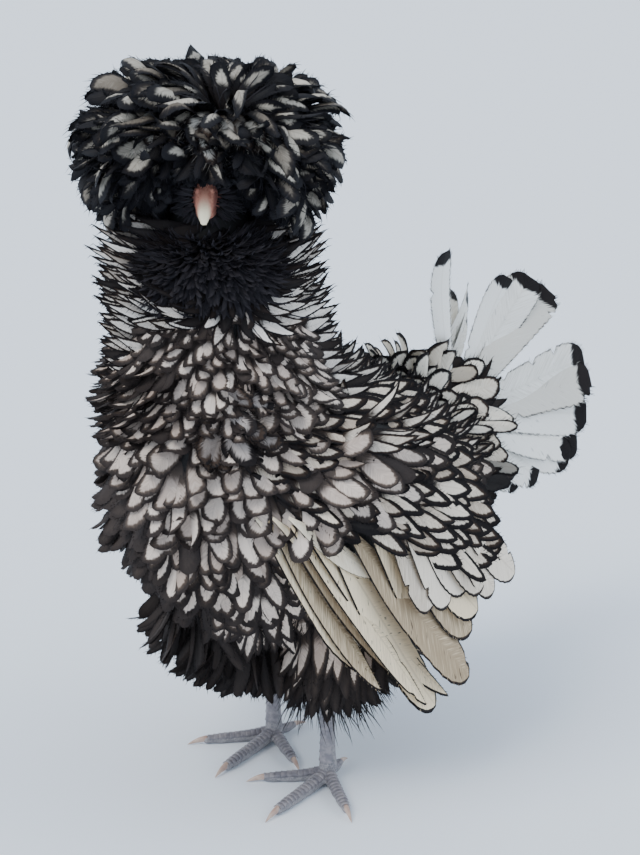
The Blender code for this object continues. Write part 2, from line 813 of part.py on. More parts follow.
def wing_row(side, row, curl, form, draw):
    """A row of overlapping wing feathers, each a little further out than the one before."""
    first, last, steep, flat, long, short, width, count, lift = row
    pieces = []
    for k in range(count):
        share = k / (count - 1)
        y = first[0] + (last[0] - first[0]) * share
        z = first[1] + (last[1] - first[1]) * share
        fall = math.radians(steep + (flat - steep) * share + draw.uniform(-1, 1))
        out = Vector((side, 0, 0.15)).normalized()
        lie = Vector((0, math.cos(fall), -math.sin(fall)))
        lie = (lie - out * lie.dot(out)).normalized()
        root = Vector((side * (flank_x(y, z) + lift + 0.0012 * k), y, z))
        length = (long + (short - long) * share) * draw.uniform(0.98, 1.02)
        tilt = Vector((0, math.sin(fall), math.cos(fall))) * SLAT
        pieces.append(feather(root, lie, out, length, width, curl, form, tilt, thick=0.0012, cup=0.02))
    return pieces


def build_wing(name, side, draw):
    """A half-closed, drooping wing: an arm with flight feathers and two rows of coverts."""
    rings = []
    for y, z, half, thick in ARM_STATIONS:
        x = side * (flank_x(y, z) + 0.3 * thick)
        rings.append(ellipse(Vector((x, y, z)), Vector((thick * side, 0, 0)), UP * half, 12))
    wing = loft(name, rings)
    pieces = wing_row(side, PRIMARIES, QUILL_CURL, QUILL_FORM, draw)
    pieces += wing_row(side, SECONDARIES, QUILL_CURL, QUILL_FORM, draw)
    pieces += wing_row(side, GREAT_COVERTS, COVERT_CURL, CURL_FORM, draw)
    pieces += wing_row(side, LESSER_COVERTS, COVERT_CURL, SHORT_FORM, draw)
    pieces += wing_row(side, SCAPULARS, COVERT_CURL, SHORT_FORM, draw)
    fuse(wing, pieces)
    carve(wing, [wing_room(side, -GAP)], "INTERSECT")
    carve(
        wing,
        [
            torso_core("inner", 2 * GAP),
            leg_room("leg_room", -LEG_REACH_X, LEG_REACH_X, GAP),
            prism("tail_room", TAIL_OUTLINE, -TAIL_REACH, TAIL_REACH, GAP),
        ],
    )
    return keep_largest(wing)


# ---------------------------------------------------------------- tail

TAIL_ROOT = Vector((0, 0.142, 0.196))
TAIL_ARM = Vector((0, 0.040, 0.010))
# Rows of tail feathers: elevation, splay to the side, length; each is made on both sides.
TAIL_QUILLS = (
    (88, 3, 0.108),
    (66, 5, 0.102),
    (46, 7, 0.104),
    (27, 8, 0.120),
    (9, 9, 0.138),
    (-7, 10, 0.140),
    (-20, 11, 0.138),
    (-32, 12, 0.116),
)
TAIL_MIDDLE = ((76, 0.090), (50, 0.090))
TAIL_COVERTS = (
    (112, 20, 0.058),
    (78, 26, 0.064),
    (46, 32, 0.068),
    (14, 38, 0.068),
    (-16, 44, 0.060),
)
TAIL_QUILL_WIDTH = 0.029
TAIL_COVERT_WIDTH = 0.028
TAIL_QUILL_CURL = degrees(0, 2, 14)
TAIL_COVERT_CURL = degrees(4, 14, 58)


def tail_feather(side, row, width, curl, offset, form, draw):
    """One tail feather on one side of the fan."""
    rise, splay, length = row
    rise, splay = math.radians(rise + draw.uniform(-2, 2)), math.radians(splay)
    fan = Vector((0, math.cos(rise), math.sin(rise)))
    lie = (fan * math.cos(splay) + Vector((side, 0, 0)) * math.sin(splay)).normalized()
    out = Vector((side, 0, 0))
    out = (out - lie * out.dot(lie)).normalized()
    root = TAIL_ROOT + fan * 0.012 + Vector((side * offset, 0, 0))
    tilt = Vector((0, -math.sin(rise), math.cos(rise))) * SLAT
    length *= draw.uniform(0.97, 1.03)
    return feather(root, lie, out, length, width, curl, form, tilt, thick=0.0013, cup=0.03)


def build_tail(draw):
    """The tail: a fan of quills on both sides, with frizzled coverts round its base."""
    start, end = TAIL_ROOT - TAIL_ARM * 0.6, TAIL_ROOT + TAIL_ARM
    rings = []
    for share, size in ((0.0, 0.036), (0.35, 0.032), (0.7, 0.022)):
        middle = start + (end - start) * share
        rings.append(ellipse(middle, Vector((size * 0.9, 0, 0)), UP * size, 14))
    rings.append([end])
    tail = loft("tail", rings)
    pieces = []
    for rise, length in TAIL_MIDDLE:
        row = (rise, 0, length)
        pieces.append(tail_feather(1, row, TAIL_QUILL_WIDTH, TAIL_QUILL_CURL, 0.0, QUILL_FORM, draw))
    for side in (1, -1):
        for k, row in enumerate(TAIL_QUILLS):
            offset = 0.014 - 0.0013 * k
            pieces.append(
                tail_feather(side, row, TAIL_QUILL_WIDTH, TAIL_QUILL_CURL, offset, QUILL_FORM, draw)
            )
        for k, row in enumerate(TAIL_COVERTS):
            offset = 0.022 - 0.001 * k
            pieces.append(
                tail_feather(side, row, TAIL_COVERT_WIDTH, TAIL_COVERT_CURL, offset, CURL_FORM, draw)
            )
    fuse(tail, pieces)
    carve(tail, [prism("room", TAIL_OUTLINE, -TAIL_REACH, TAIL_REACH, -GAP)], "INTERSECT")
    return keep_largest(tail)


# ---------------------------------------------------------------- legs

# Thigh: height, half width and half depth.
THIGH_STATIONS = (
    (LEG_TOP_Z - GAP, 0.036, 0.048),
    (0.112, 0.034, 0.045),
    (0.096, 0.029, 0.036),
    (0.080, 0.021, 0.024),
    (0.068, 0.013, 0.014),
    (SHANK_TOP_Z + GAP, 0.0085, 0.0090),
)
THIGH_TIERS = ((0.124, 7, 0.044), (0.107, 7, 0.042), (0.090, 6, 0.034))
THIGH_WIDTH = 0.0225
THIGH_CURL = degrees(6, 14, 46)


def thigh_size(z):
    """Half width and half depth of a thigh at a height."""
    for (high, half, deep), (low, next_half, next_deep) in zip(THIGH_STATIONS, THIGH_STATIONS[1:]):
        if low <= z <= high:
            share = (high - z) / (high - low)
            return half + (next_half - half) * share, deep + (next_deep - deep) * share
    return THIGH_STATIONS[-1][1:]


def thigh_centre(foot, z):
    """The thigh's middle at a height: over the foot below, and further back above."""
    rise = (z - SHANK_TOP_Z) / (LEG_TOP_Z - SHANK_TOP_Z)
    return Vector((foot.x * (1 + 0.10 * rise), foot.y * (1 - rise) + 0.006 * rise, z))


def build_thigh(name, side, foot, draw):
    """A thigh with its hanging feathers."""
    rings = []
    for z, half, deep in THIGH_STATIONS:
        rings.append(ellipse(thigh_centre(foot, z), Vector((half, 0, 0)), Vector((0, deep, 0)), 14))
    thigh = loft(name, rings)
    pieces = []
    for tier, (z, count, length) in enumerate(THIGH_TIERS):
        half, deep = thigh_size(z)
        centre = thigh_centre(foot, z)
        for k in range(count):
            turn = 2 * math.pi * (k + 0.5 * tier + draw.uniform(-0.1, 0.1)) / count
            out = Vector((math.sin(turn), math.cos(turn), 0))
            here = centre + Vector((half * out.x, deep * out.y, 0))
            size = length * draw.uniform(0.9, 1.05)
            pieces.append(feather(here, -UP, out, size, THIGH_WIDTH, THIGH_CURL, SHORT_FORM))
    fuse(thigh, pieces)
    low, high = (0, LEG_REACH_X) if side > 0 else (-LEG_REACH_X, 0)
    carve(thigh, [leg_room("room", low, high, -GAP)], "INTERSECT")
    carve(thigh, [torso_core("inner", 2 * GAP)])
    return keep_largest(thigh)


SCUTES = 8
SCUTE_STEP = 0.0007
SHANK_SIDES = 8


def build_shank(name, foot):
    """A shank with raised scutes down its front."""
    low, high = FOOT_TOP_Z + GAP, SHANK_TOP_Z
    rings = []
    for k in range(SCUTES):
        for part, step in ((0.0, 1.0), (0.86, 0.35)):
            z = low + (high - low) * (k + part) / SCUTES
            widen = 1 + 0.16 * max(0.0, (z - 0.045) / 0.02) + 0.12 * max(0.0, (0.022 - z) / 0.01)
            ring = []
            for s in range(SHANK_SIDES):
                turn = 2 * math.pi * s / SHANK_SIDES
                front = max(0.0, math.cos(turn))
                radius = SHANK_RADIUS * widen + SCUTE_STEP * step * front
                ring.append(foot + Vector((radius * math.sin(turn), -radius * math.cos(turn), z)))
            rings.append(ring)
    top = SHANK_RADIUS * 1.1
    rings.append(ellipse(foot + UP * high, Vector((top, 0, 0)), Vector((0, -top, 0)), SHANK_SIDES))
    return loft(name, rings)


# Toes: heading from the middle toe, length and radius share.
TOES = {
    "inner": (52, 0.040, 0.92),
    "middle": (0, 0.056, 1.0),
    "outer": (-48, 0.046, 0.92),
    "back": (170, 0.020, 0.80),
}
CLAW_LENGTH = 0.012


def toe_line(foot, heading, side, toe, along):
    """A point on a toe's centreline, along metres from the shank."""
    turn, _, share = TOES[toe]
    angle = heading + side * math.radians(-turn)
    way = Vector((math.sin(angle), -math.cos(angle), 0))
    drop = math.exp(-along / 0.008)
    return foot + way * along + UP * (TOE_LIFT * share + 0.0040 * drop), way


def build_foot(name, side, foot, heading):
    """A foot: the hub under the shank and four toes with jointed pads, flat where they rest."""
    hub = ellipsoid(
        name, foot + UP * 0.0075, Vector((0.0068, 0, 0)), Vector((0, 0.0072, 0)), UP * 0.0078, 6, 8
    )
    toes = []
    for toe, (_, length, share) in TOES.items():
        rings = []
        # Place along the toe and girth, swelling at each joint pad.
        steps = ((0.0, 1.0), (0.26, 1.04), (0.44, 0.86), (0.64, 1.0), (0.82, 0.84), (1.0, 0.62))
        for place, girth in steps:
            centre, way = toe_line(foot, heading, side, toe, place * length)
            across = way.cross(UP) * (TOE_RADIUS * share * girth)
            rings.append(ellipse(centre, across, UP * (TOE_RADIUS * share * girth), 6))
        toes.append(loft("toe", rings))
    fuse(hub, toes)
    carve(
        hub,
        [
            block("floor", (-0.3, -0.4, -0.1), (0.3, 0.4, 0.0)),
            block("shank_side", (-0.3, -0.4, FOOT_TOP_Z), (0.3, 0.4, 0.1)),
        ],
    )
    return keep_largest(hub)


def build_claws(name, side, foot, heading):
    """The four claws of one foot, each a curved cone on the end of its toe."""
    made = []
    for toe, (_, length, share) in TOES.items():
        size = TOE_RADIUS * share * 0.56
        centre, way = toe_line(foot, heading, side, toe, length + GAP)
        rings = []
        for place, girth in ((0.0, 1.0), (0.4, 0.78), (0.75, 0.42)):
            middle = centre + way * (CLAW_LENGTH * place) + UP * (0.0006 - 0.0022 * place * place)
            across = way.cross(UP) * (size * 0.8 * girth)
            rings.append(ellipse(middle, across, UP * (size * girth), 6))
        rings.append([centre + way * CLAW_LENGTH - UP * 0.0026])
        made.append(loft(f"{name}_{toe}", rings))
    return made


# ---------------------------------------------------------------- colours and assembly

COLOURS = {
    "black_feather": ((0.020, 0.018, 0.020, 1), 0.55),
    "laced_feather": ((0.62, 0.59, 0.55, 1), 0.60),
    "white_feather": ((0.84, 0.82, 0.76, 1), 0.60),
    "skin": ((0.45, 0.16, 0.15, 1), 0.55),
    "horn": ((0.80, 0.62, 0.48, 1), 0.35),
    "eye": ((0.16, 0.05, 0.02, 1), 0.10),
    "slate": ((0.28, 0.28, 0.30, 1), 0.50),
    "claw": ((0.50, 0.40, 0.34, 1), 0.40),
}


def finish(obj, colour):
    """Gives a part its colour and puts it in the model's frame."""
    tone, rough = COLOURS[colour]
    material = bpy.data.materials.get(colour) or bpy.data.materials.new(colour)
    material.use_nodes = True
    shader = material.node_tree.nodes["Principled BSDF"]
    shader.inputs["Base Color"].default_value = tone
    shader.inputs["Roughness"].default_value = rough
    obj.data.materials.clear()
    obj.data.materials.append(material)
    obj.data.transform(Matrix.Translation(-ORIGIN))
    return obj


def main():
    """Builds every part of the bird."""
    for obj in list(bpy.data.objects):
        bpy.data.objects.remove(obj)
    draw = random.Random(SEED)
    finish(build_torso(draw), "laced_feather")
    finish(build_neck(draw), "laced_feather")
    finish(build_head(), "skin")
    for half in build_bill():
        finish(half, "horn")
    for label, side in (("left", 1), ("right", -1)):
        finish(eye_ball(f"eye_{label}", side), "eye")
    finish(build_crest(draw), "black_feather")
    finish(build_beard(draw), "black_feather")
    finish(build_tail(draw), "white_feather")
    for label, (side, foot, heading) in LEGS.items():
        finish(build_wing(f"wing_{label}", side, draw), "laced_feather")
        finish(build_thigh(f"thigh_{label}", side, foot, draw), "black_feather")
        finish(build_shank(f"shank_{label}", foot), "slate")
        finish(build_foot(f"foot_{label}", side, foot, heading), "slate")
        for claw in build_claws(f"claw_{label}", side, foot, heading):
            finish(claw, "claw")


main()
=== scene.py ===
"""Looks of a laced, crested frizzle hen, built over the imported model.

One skin carries the whole body. Feathers are closed, tapered vanes laid over it tract by tract, each
rooted in the skin and curled away from it. The bill, eyes, claws and leg scutes are pieces of their own.
Sizes are in metres, +Z up, and the body faces -Y. Parts are worked out in the bird's own frame and
moved by ORIGIN into the model's.
"""

import logging
import math
from dataclasses import dataclass, field
from enum import Enum
from itertools import product

import bmesh
import bpy
import numpy as np
from mathutils import Matrix, Vector
from mathutils.bvhtree import BVHTree
from numpy.random import default_rng


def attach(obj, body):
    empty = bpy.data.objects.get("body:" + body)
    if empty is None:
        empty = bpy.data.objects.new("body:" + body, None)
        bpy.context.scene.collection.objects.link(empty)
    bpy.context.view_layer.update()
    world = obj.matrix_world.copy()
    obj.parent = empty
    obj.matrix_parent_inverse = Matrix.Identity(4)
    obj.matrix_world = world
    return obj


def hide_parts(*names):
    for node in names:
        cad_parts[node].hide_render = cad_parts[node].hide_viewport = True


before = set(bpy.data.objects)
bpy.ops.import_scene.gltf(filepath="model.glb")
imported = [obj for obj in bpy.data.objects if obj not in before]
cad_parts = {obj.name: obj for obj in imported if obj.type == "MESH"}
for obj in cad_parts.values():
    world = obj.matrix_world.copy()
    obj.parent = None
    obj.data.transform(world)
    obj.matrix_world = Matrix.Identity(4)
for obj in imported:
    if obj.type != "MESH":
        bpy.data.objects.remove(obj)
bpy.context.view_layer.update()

LOG = logging.getLogger("hen")
Array = np.ndarray
Colour = tuple[float, float, float]
Draw = np.random.Generator
Material = bpy.types.Material
Node = bpy.types.Node
NodeTree = bpy.types.NodeTree
Obj = bpy.types.Object
Socket = bpy.types.NodeSocket
Table = tuple[tuple[float, ...], ...]

MM = 0.001
ORIGIN = np.array((0.0, 0.065, 0.0))
EAST, NORTH, UP = np.eye(3)
BODY = "root"

# The head's frame: it turns to the bird's left about the neck's axis.
HEAD_TURN = math.radians(40)
HEAD_FORWARD = np.array((math.sin(HEAD_TURN), -math.cos(HEAD_TURN), 0.0))
HEAD_SIDE = np.array((math.cos(HEAD_TURN), math.sin(HEAD_TURN), 0.0))
HEAD_AXIS = np.array((0.0, -0.078, 0.0))
# The columns turn vectors into the head's frame.
HEAD_TURNED = np.stack([HEAD_SIDE, HEAD_FORWARD, UP], 1)
# The egg about the trunk that feathers are spread over.
EGG_CENTRE = np.array((0.0, 0.004, 0.190))
EGG_AXES = np.array((0.077, 0.136, 0.094))

# Torso: place along Y, half width, top and bottom.
TORSO_FRONT = (-0.134, 0.214)
TORSO_REAR = (0.145, 0.188)
TORSO_STATIONS: Table = (
    (-0.124, 0.032, 0.258, 0.170),
    (-0.100, 0.055, 0.285, 0.134),
    (-0.066, 0.070, 0.296, 0.108),
    (-0.022, 0.077, 0.284, 0.095),
    (0.020, 0.077, 0.258, 0.092),
    (0.060, 0.070, 0.240, 0.100),
    (0.098, 0.054, 0.230, 0.118),
    (0.124, 0.038, 0.224, 0.140),
)
# Neck: height, middle along Y, half width and half depth.
NECK_STATIONS: Table = (
    (0.2550, -0.062, 0.060, 0.058),
    (0.2750, -0.067, 0.055, 0.052),
    (0.3000, -0.073, 0.047, 0.044),
    (0.3250, -0.077, 0.041, 0.039),
    (0.3450, -0.078, 0.031, 0.030),
    (0.3700, -0.078, 0.020, 0.020),
)
# Ellipsoids in the head's frame: forward, up, then half sizes side, forward and up.
SKULL = (0.000, 0.374, 0.0165, 0.026, 0.020)
CREST_CORE = (-0.011, 0.393, 0.046, 0.036, 0.031)
BEARD_CORE = (0.020, 0.333, 0.036, 0.026, 0.022)
FACE_HOLLOW = (0.024, 0.3745, 0.0235, 0.034, 0.0165)
EYE_RADIUS = 0.0045
EYE_PLACE = (0.0130, 0.0060, 0.3790)
# Bill profiles: forward, half width, top and bottom.
UPPER_BILL: Table = (
    (0.0150, 0.0064, 0.3826, 0.3710),
    (0.0203, 0.0066, 0.3836, 0.3708),
    (0.0245, 0.0066, 0.3838, 0.3703),
    (0.0290, 0.0062, 0.3808, 0.3695),
    (0.0340, 0.0051, 0.3768, 0.3682),
    (0.0390, 0.0034, 0.3712, 0.3652),
    (0.0420, 0.0017, 0.3656, 0.3622),
)
LOWER_BILL: Table = (
    (0.0150, 0.0056, 0.3704, 0.3636),
    (0.0203, 0.0058, 0.3704, 0.3638),
    (0.0250, 0.0055, 0.3698, 0.3636),
    (0.0300, 0.0047, 0.3690, 0.3638),
    (0.0350, 0.0033, 0.3676, 0.3644),
    (0.0375, 0.0018, 0.3664, 0.3648),
)
# Nostril: side, forward and height.
NOSTRIL = (0.0036, 0.0262, 0.3786)
# Wing arm: place along Y, height, half height and thickness.
ARM_STATIONS: Table = (
    (-0.102, 0.208, 0.016, 0.010),
    (-0.080, 0.214, 0.027, 0.013),
    (-0.040, 0.218, 0.032, 0.014),
    (0.000, 0.212, 0.030, 0.012),
    (0.030, 0.204, 0.022, 0.009),
    (0.050, 0.198, 0.012, 0.007),
)
# Where the flight feathers cover the flank: Y and height.
FLIGHT_OUTLINE: Table = (
    (-0.105, 0.205),
    (0.030, 0.205),
    (0.078, 0.150),
    (0.062, 0.100),
    (0.025, 0.060),
    (-0.035, 0.088),
    (-0.080, 0.150),
)
WING_OUTLINE: Table = (
    (-0.118, 0.205),
    (-0.104, 0.248),
    (-0.030, 0.262),
    (0.040, 0.246),
    (0.072, 0.220),
    (0.081, 0.165),
    (0.082, 0.100),
    (0.060, 0.045),
    (-0.006, 0.045),
    (-0.104, 0.170),
)
TAIL_ROOT = np.array((0.0, 0.142, 0.196))
TAIL_ARM = np.array((0.0, 0.040, 0.010))
# Thigh: height, half width and half depth.
THIGH_STATIONS: Table = (
    (0.1300, 0.036, 0.048),
    (0.112, 0.034, 0.045),
    (0.096, 0.029, 0.036),
    (0.080, 0.021, 0.024),
    (0.068, 0.013, 0.014),
    (0.060, 0.0085, 0.0090),
)
LEG_TOP_Z, SHANK_TOP_Z = 0.130, 0.060
TOE_RADIUS, TOE_LIFT, CLAW_LENGTH = 0.0042, 0.0031, 0.012
# Shank, from the thigh's lower end down: height and half width.
SHANK_STATIONS: Table = (
    (0.078, 0.0150),
    (0.070, 0.0112),
    (0.064, 0.0084),
    (0.058, 0.0064),
    (0.050, 0.0052),
    (0.042, 0.0047),
    (0.034, 0.0045),
    (0.026, 0.0046),
    (0.018, 0.0050),
    (0.012, 0.0056),
    (0.006, 0.0060),
)
# Girth under the shank's shields: heights and half widths.
SHIELD_GIRTHS: Table = ((0.012, 0.018, 0.034, 0.05, 0.064), (0.0058, 0.0051, 0.0046, 0.0053, 0.0080))
# Toes: turn from the middle one in degrees, length and share of the girth.
TOES = {
    "inner": (52.0, 0.040, 0.92),
    "middle": (0.0, 0.056, 1.0),
    "outer": (-48.0, 0.046, 0.92),
    "back": (170.0, 0.020, 0.80),
}


class Side(Enum):
    """The two sides of the bird, by the sign of X."""

    LEFT = 1
    RIGHT = -1

    @property
    def label(self) -> str:
        """The side's name in node names."""
        return self.name.lower()


# ---------------------------------------------------------------- sums on arrays


def unit(rows: Array) -> Array:
    """Vectors of length one.

    Args:
        rows: Vectors along the last axis.

    Returns:
        The same directions, with length one.
    """
    return rows / np.maximum(np.linalg.norm(rows, axis=-1, keepdims=True), 1e-12)


def across(rows: Array, outs: Array) -> Array:
    """Directions made square to outs, with length one."""
    return unit(rows - outs * (rows * outs).sum(-1, keepdims=True))


def cols(*columns: Array | float) -> Array:
    """Columns side by side, with a single number repeated down its own."""
    return np.stack(np.broadcast_arrays(*columns), -1)


def turns(count: int) -> Array:
    """Evenly spaced turns of a full circle, from 0."""
    return np.linspace(0, 2 * math.pi, count, endpoint=False)


def falling(angle: Array) -> Array:
    """Ways that point back and down by an angle."""
    return cols(0, np.cos(angle), -np.sin(angle))


def ease(low: float, high: float, value: Array) -> Array:
    """A smooth step from 0 at low to 1 at high."""
    share = np.clip((value - low) / (high - low), 0, 1)
    return share * share * (3 - 2 * share)


def smooth(table: Table, place: Array) -> Array:
    """Rows of a table on a smooth curve.

    Args:
        table: Rows of numbers.
        place: Places from 0 to the table's last row.

    Returns:
        One row for each place.
    """
    rows = np.array(table, float)
    place = np.atleast_1d(np.asarray(place, float))
    low = np.clip(place.astype(int), 0, len(rows) - 2)
    s = (place - low)[:, None]
    pick = [rows[np.clip(low + k, 0, len(rows) - 1)] for k in (-1, 0, 1, 2)]
    return 0.5 * (
        pick[0] * (-(s**3) + 2 * s**2 - s)
        + pick[1] * (3 * s**3 - 5 * s**2 + 2)
        + pick[2] * (-3 * s**3 + 4 * s**2 + s)
        + pick[3] * (s**3 - s**2)
    )


def course(table: Table, count: int) -> Array:
    """Rows spread evenly along a table's smooth curve."""
    return smooth(table, np.linspace(0, len(table) - 1, count))


def head_point(side: Array, forward: Array, z: Array) -> Array:
    """Points given in the head's own frame."""
    side, forward, z = (np.asarray(x, float)[..., None] for x in (side, forward, z))
    return HEAD_AXIS + HEAD_SIDE * side + HEAD_FORWARD * forward + UP * z


def inside(outline: Table, y: Array, z: Array) -> Array:
    """Whether points lie in a side outline."""
    found = np.zeros(len(y), bool)
    for (y0, z0), (y1, z1) in zip(outline, outline[1:] + outline[:1]):
        if z0 == z1:
            continue
        crosses = ((z0 > z) != (z1 > z)) & (y < (y1 - y0) * (z - z0) / (z1 - z0) + y0)
        found ^= crosses
    return found


def torso_rings(grow: float, rows: int, sides: int) -> Array:
    """Rings of the torso's skin, from the breast to the rump."""
    found = course(TORSO_STATIONS, rows)
    turn = turns(sides)
    y, half, top, bottom = (found[:, k, None] for k in range(4))
    tall = 0.5 * (top - bottom) + grow
    z = 0.5 * (top + bottom) + np.cos(turn) * tall
    slim = 1 - 0.09 * ease(0.205, 0.130, z) * ease(0.03, -0.02, y)
    x = np.sin(turn) * (half + grow) * slim
    return cols(x, y, z)


def neck_ring(z: Array, turn: Array) -> Array:
    """Points on the neck's skin at heights z and turns round it, 0 at the back."""
    levels = [row[0] for row in NECK_STATIONS]
    place = np.interp(z, levels, np.arange(len(levels)))
    _, y, half, deep = smooth(NECK_STATIONS, place).T
    return cols(half * np.sin(turn), y + deep * np.cos(turn), z)


def flank_x(y: Array, z: Array) -> Array:
    """Half width of the torso's skin at places on its side."""
    fine = course(TORSO_STATIONS, 200)
    half, top, bottom = (np.interp(y, fine[:, 0], fine[:, k]) for k in (1, 2, 3))
    level = (z - 0.5 * (top + bottom)) / (0.5 * (top - bottom))
    return half * np.sqrt(np.clip(1 - level * level, 0.0, 1))


# ---------------------------------------------------------------- meshes


def linked(name: str, data: bpy.types.ID) -> Obj:
    """A new object in the scene, at the origin."""
    obj = bpy.data.objects.new(name, data)
    bpy.context.scene.collection.objects.link(obj)
    return obj


def store(obj: Obj, name: str, values: Array) -> None:
    """Stores a number or a vector at each point of an object."""
    kind, part = ("FLOAT", "value") if values.ndim == 1 else ("FLOAT_VECTOR", "vector")
    stored = obj.data.attributes.new(name, kind, "POINT")
    stored.data.foreach_set(part, values.astype(np.float32).ravel())


def place_mesh(name: str, points: Array, faces: list | Array) -> Obj:
    """A mesh object in the model's frame.

    Args:
        name: The piece's name.
        points: Vertices in the bird's frame.
        faces: Vertex numbers of each face.

    Returns:
        The linked object, at the origin.
    """
    mesh = bpy.data.meshes.new(name)
    mesh.from_pydata((np.asarray(points) - ORIGIN).tolist(), [], [list(map(int, f)) for f in faces])
    mesh.update()
    return linked(name, mesh)


def outwards(obj: Obj) -> Obj:
    """Turns a closed object's faces outwards."""
    made = bmesh.new()
    made.from_mesh(obj.data)
    bmesh.ops.recalc_face_normals(made, faces=made.faces)
    if made.calc_volume(signed=True) < 0:
        bmesh.ops.reverse_faces(made, faces=made.faces)
    made.to_mesh(obj.data)
    made.free()
    return obj


def quads(rows: int, wide: int, closed: tuple[bool, bool]) -> list[tuple[int, ...]]:
    """Faces of a grid of points, given row by row.

    Args:
        rows: How many rows there are.
        wide: Points in a row.
        closed: Whether the last row meets the first, and whether a row's ends meet.

    Returns:
        Four vertex numbers for each face.
    """
    cells = product(range(rows - 1 + closed[0]), range(wide - 1 + closed[1]))
    corners = ((k * wide, j, (k + 1) % rows * wide, (j + 1) % wide) for k, j in cells)
    return [(k + j, k + b, a + b, a + j) for k, j, a, b in corners]


def loft(name: str, rings: Array, start: Array | None = None, end: Array | None = None) -> Obj:
    """A closed solid through rings of points, with a pole at each end.

    Args:
        name: The object's name.
        rings: Points as (rings, sides, 3).
        start: The first pole, or the first ring's middle.
        end: The last pole, or the last ring's middle.

    Returns:
        The solid, with its faces outwards.
    """
    rings = np.asarray(rings, float)
    count, sides = rings.shape[:2]
    start = rings[0].mean(0) if start is None else start
    end = rings[-1].mean(0) if end is None else end
    points = np.concatenate([rings.reshape(-1, 3), [start, end]])
    faces = quads(count, sides, (False, True))
    for s in range(sides):
        after = (s + 1) % sides
        faces.append((count * sides, after, s))
        faces.append(((count - 1) * sides + s, (count - 1) * sides + after, count * sides + 1))
    return outwards(place_mesh(name, points, faces))


def tube(centres: Array, sizes: Array, first: Array, second: Array, sides: int = 16) -> Array:
    """Elliptical rings about a line of centres.

    Args:
        centres: Middle of each ring.
        sizes: Half sizes of each ring along first and second.
        first: One direction across, for all rings or each.
        second: The other direction across.
        sides: Points in a ring.

    Returns:
        The rings as (rings, sides, 3).
    """
    turn = turns(sides)
    first = np.broadcast_to(first, centres.shape)[:, None]
    second = np.broadcast_to(second, centres.shape)[:, None]
    a = np.sin(turn)[None, :, None] * sizes[:, 0, None, None]
    b = np.cos(turn)[None, :, None] * sizes[:, 1, None, None]
    return centres[:, None] + first * a + second * b


def ellipsoid(name: str, centre: Array, axes: tuple[Array, Array, Array], grow: float = 0.0) -> Obj:
    """A closed ellipsoid from its three half-axis vectors, with its poles on the last one."""
    side, ahead, up = (axis + unit(axis) * grow for axis in axes)
    polar = np.linspace(0, math.pi, 16)[1:-1]
    middles = centre - up * np.cos(polar)[:, None]
    sizes = np.stack([np.sin(polar)] * 2, 1)
    return loft(name, tube(middles, sizes, side, ahead, 24), centre - up, centre + up)


def head_ellipsoid(name: str, shape: tuple[float, ...], grow: float = 0.0) -> Obj:
    """An ellipsoid in the head's frame."""
    forward, z, side, ahead, up = shape
    return ellipsoid(name, head_point(0, forward, z), (HEAD_SIDE * side, HEAD_FORWARD * ahead, UP * up), grow)


def drop(objects: list[Obj]) -> None:
    """Deletes helper objects and their meshes."""
    for obj in objects:
        mesh = obj.data
        bpy.data.objects.remove(obj)
        bpy.data.meshes.remove(mesh)


def settle(obj: Obj) -> Obj:
    """Replaces an object's mesh with the result of its modifiers."""
    graph = bpy.context.evaluated_depsgraph_get()
    old = obj.data
    mesh = bpy.data.meshes.new_from_object(obj.evaluated_get(graph))
    obj.modifiers.clear()
    obj.data = mesh
    bpy.data.meshes.remove(old)
    mesh.name = obj.name
    return obj


def joined(name: str, parts: list[Obj]) -> Obj:
    """One object that holds all the parts' faces, which are then deleted."""
    made = bmesh.new()
    for part in parts:
        made.from_mesh(part.data)
    mesh = bpy.data.meshes.new(name)
    made.to_mesh(mesh)
    made.free()
    drop(parts)
    return linked(name, mesh)


def melt(name: str, parts: list[Obj], voxel: float, rounds: int) -> Obj:
    """The parts grown into one closed, smoothed surface.

    Args:
        name: The new object's name.
        parts: Closed solids that overlap.
        voxel: Size of the new faces.
        rounds: Smoothing rounds over the joins.

    Returns:
        The one closed object.
    """
    obj = joined(name, parts)
    remesh = obj.modifiers.new("remesh", "REMESH")
    remesh.mode, remesh.voxel_size = "VOXEL", voxel
    soften = obj.modifiers.new("soften", "SMOOTH")
    soften.factor, soften.iterations = 0.5, rounds
    return settle(obj)


class Cut(Enum):
    """How solids are set against one another."""

    JOIN = "UNION"
    TAKE = "DIFFERENCE"


def combine(base: Obj, others: list[Obj], cut: Cut) -> Obj:
    """Joins closed objects to base, or takes them from it, and deletes them.

    Args:
        base: The closed object that is kept.
        others: The closed objects that meet it.
        cut: Whether they are joined or taken away.

    Returns:
        The base.
    """
    for other in others:
        boolean = base.modifiers.new("boolean", "BOOLEAN")
        boolean.operation, boolean.solver, boolean.object = cut.value, "MANIFOLD", other
        settle(base)
    drop(others)
    return base


def shade(obj: Obj) -> None:
    """Smooth shading over the whole mesh."""
    obj.data.polygons.foreach_set("use_smooth", np.ones(len(obj.data.polygons), bool))
    obj.data.update()


def dress(obj: Obj, material: Material, nodes: tuple[str, ...]) -> None:
    """Gives a finished piece its material, body and the nodes that it stands for."""
    obj.data.materials.clear()
    obj.data.materials.append(material)
    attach(obj, BODY)
    if nodes:
        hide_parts(*nodes)
    LOG.info("%s: %d faces", obj.name, len(obj.data.polygons))


# ---------------------------------------------------------------- feathers


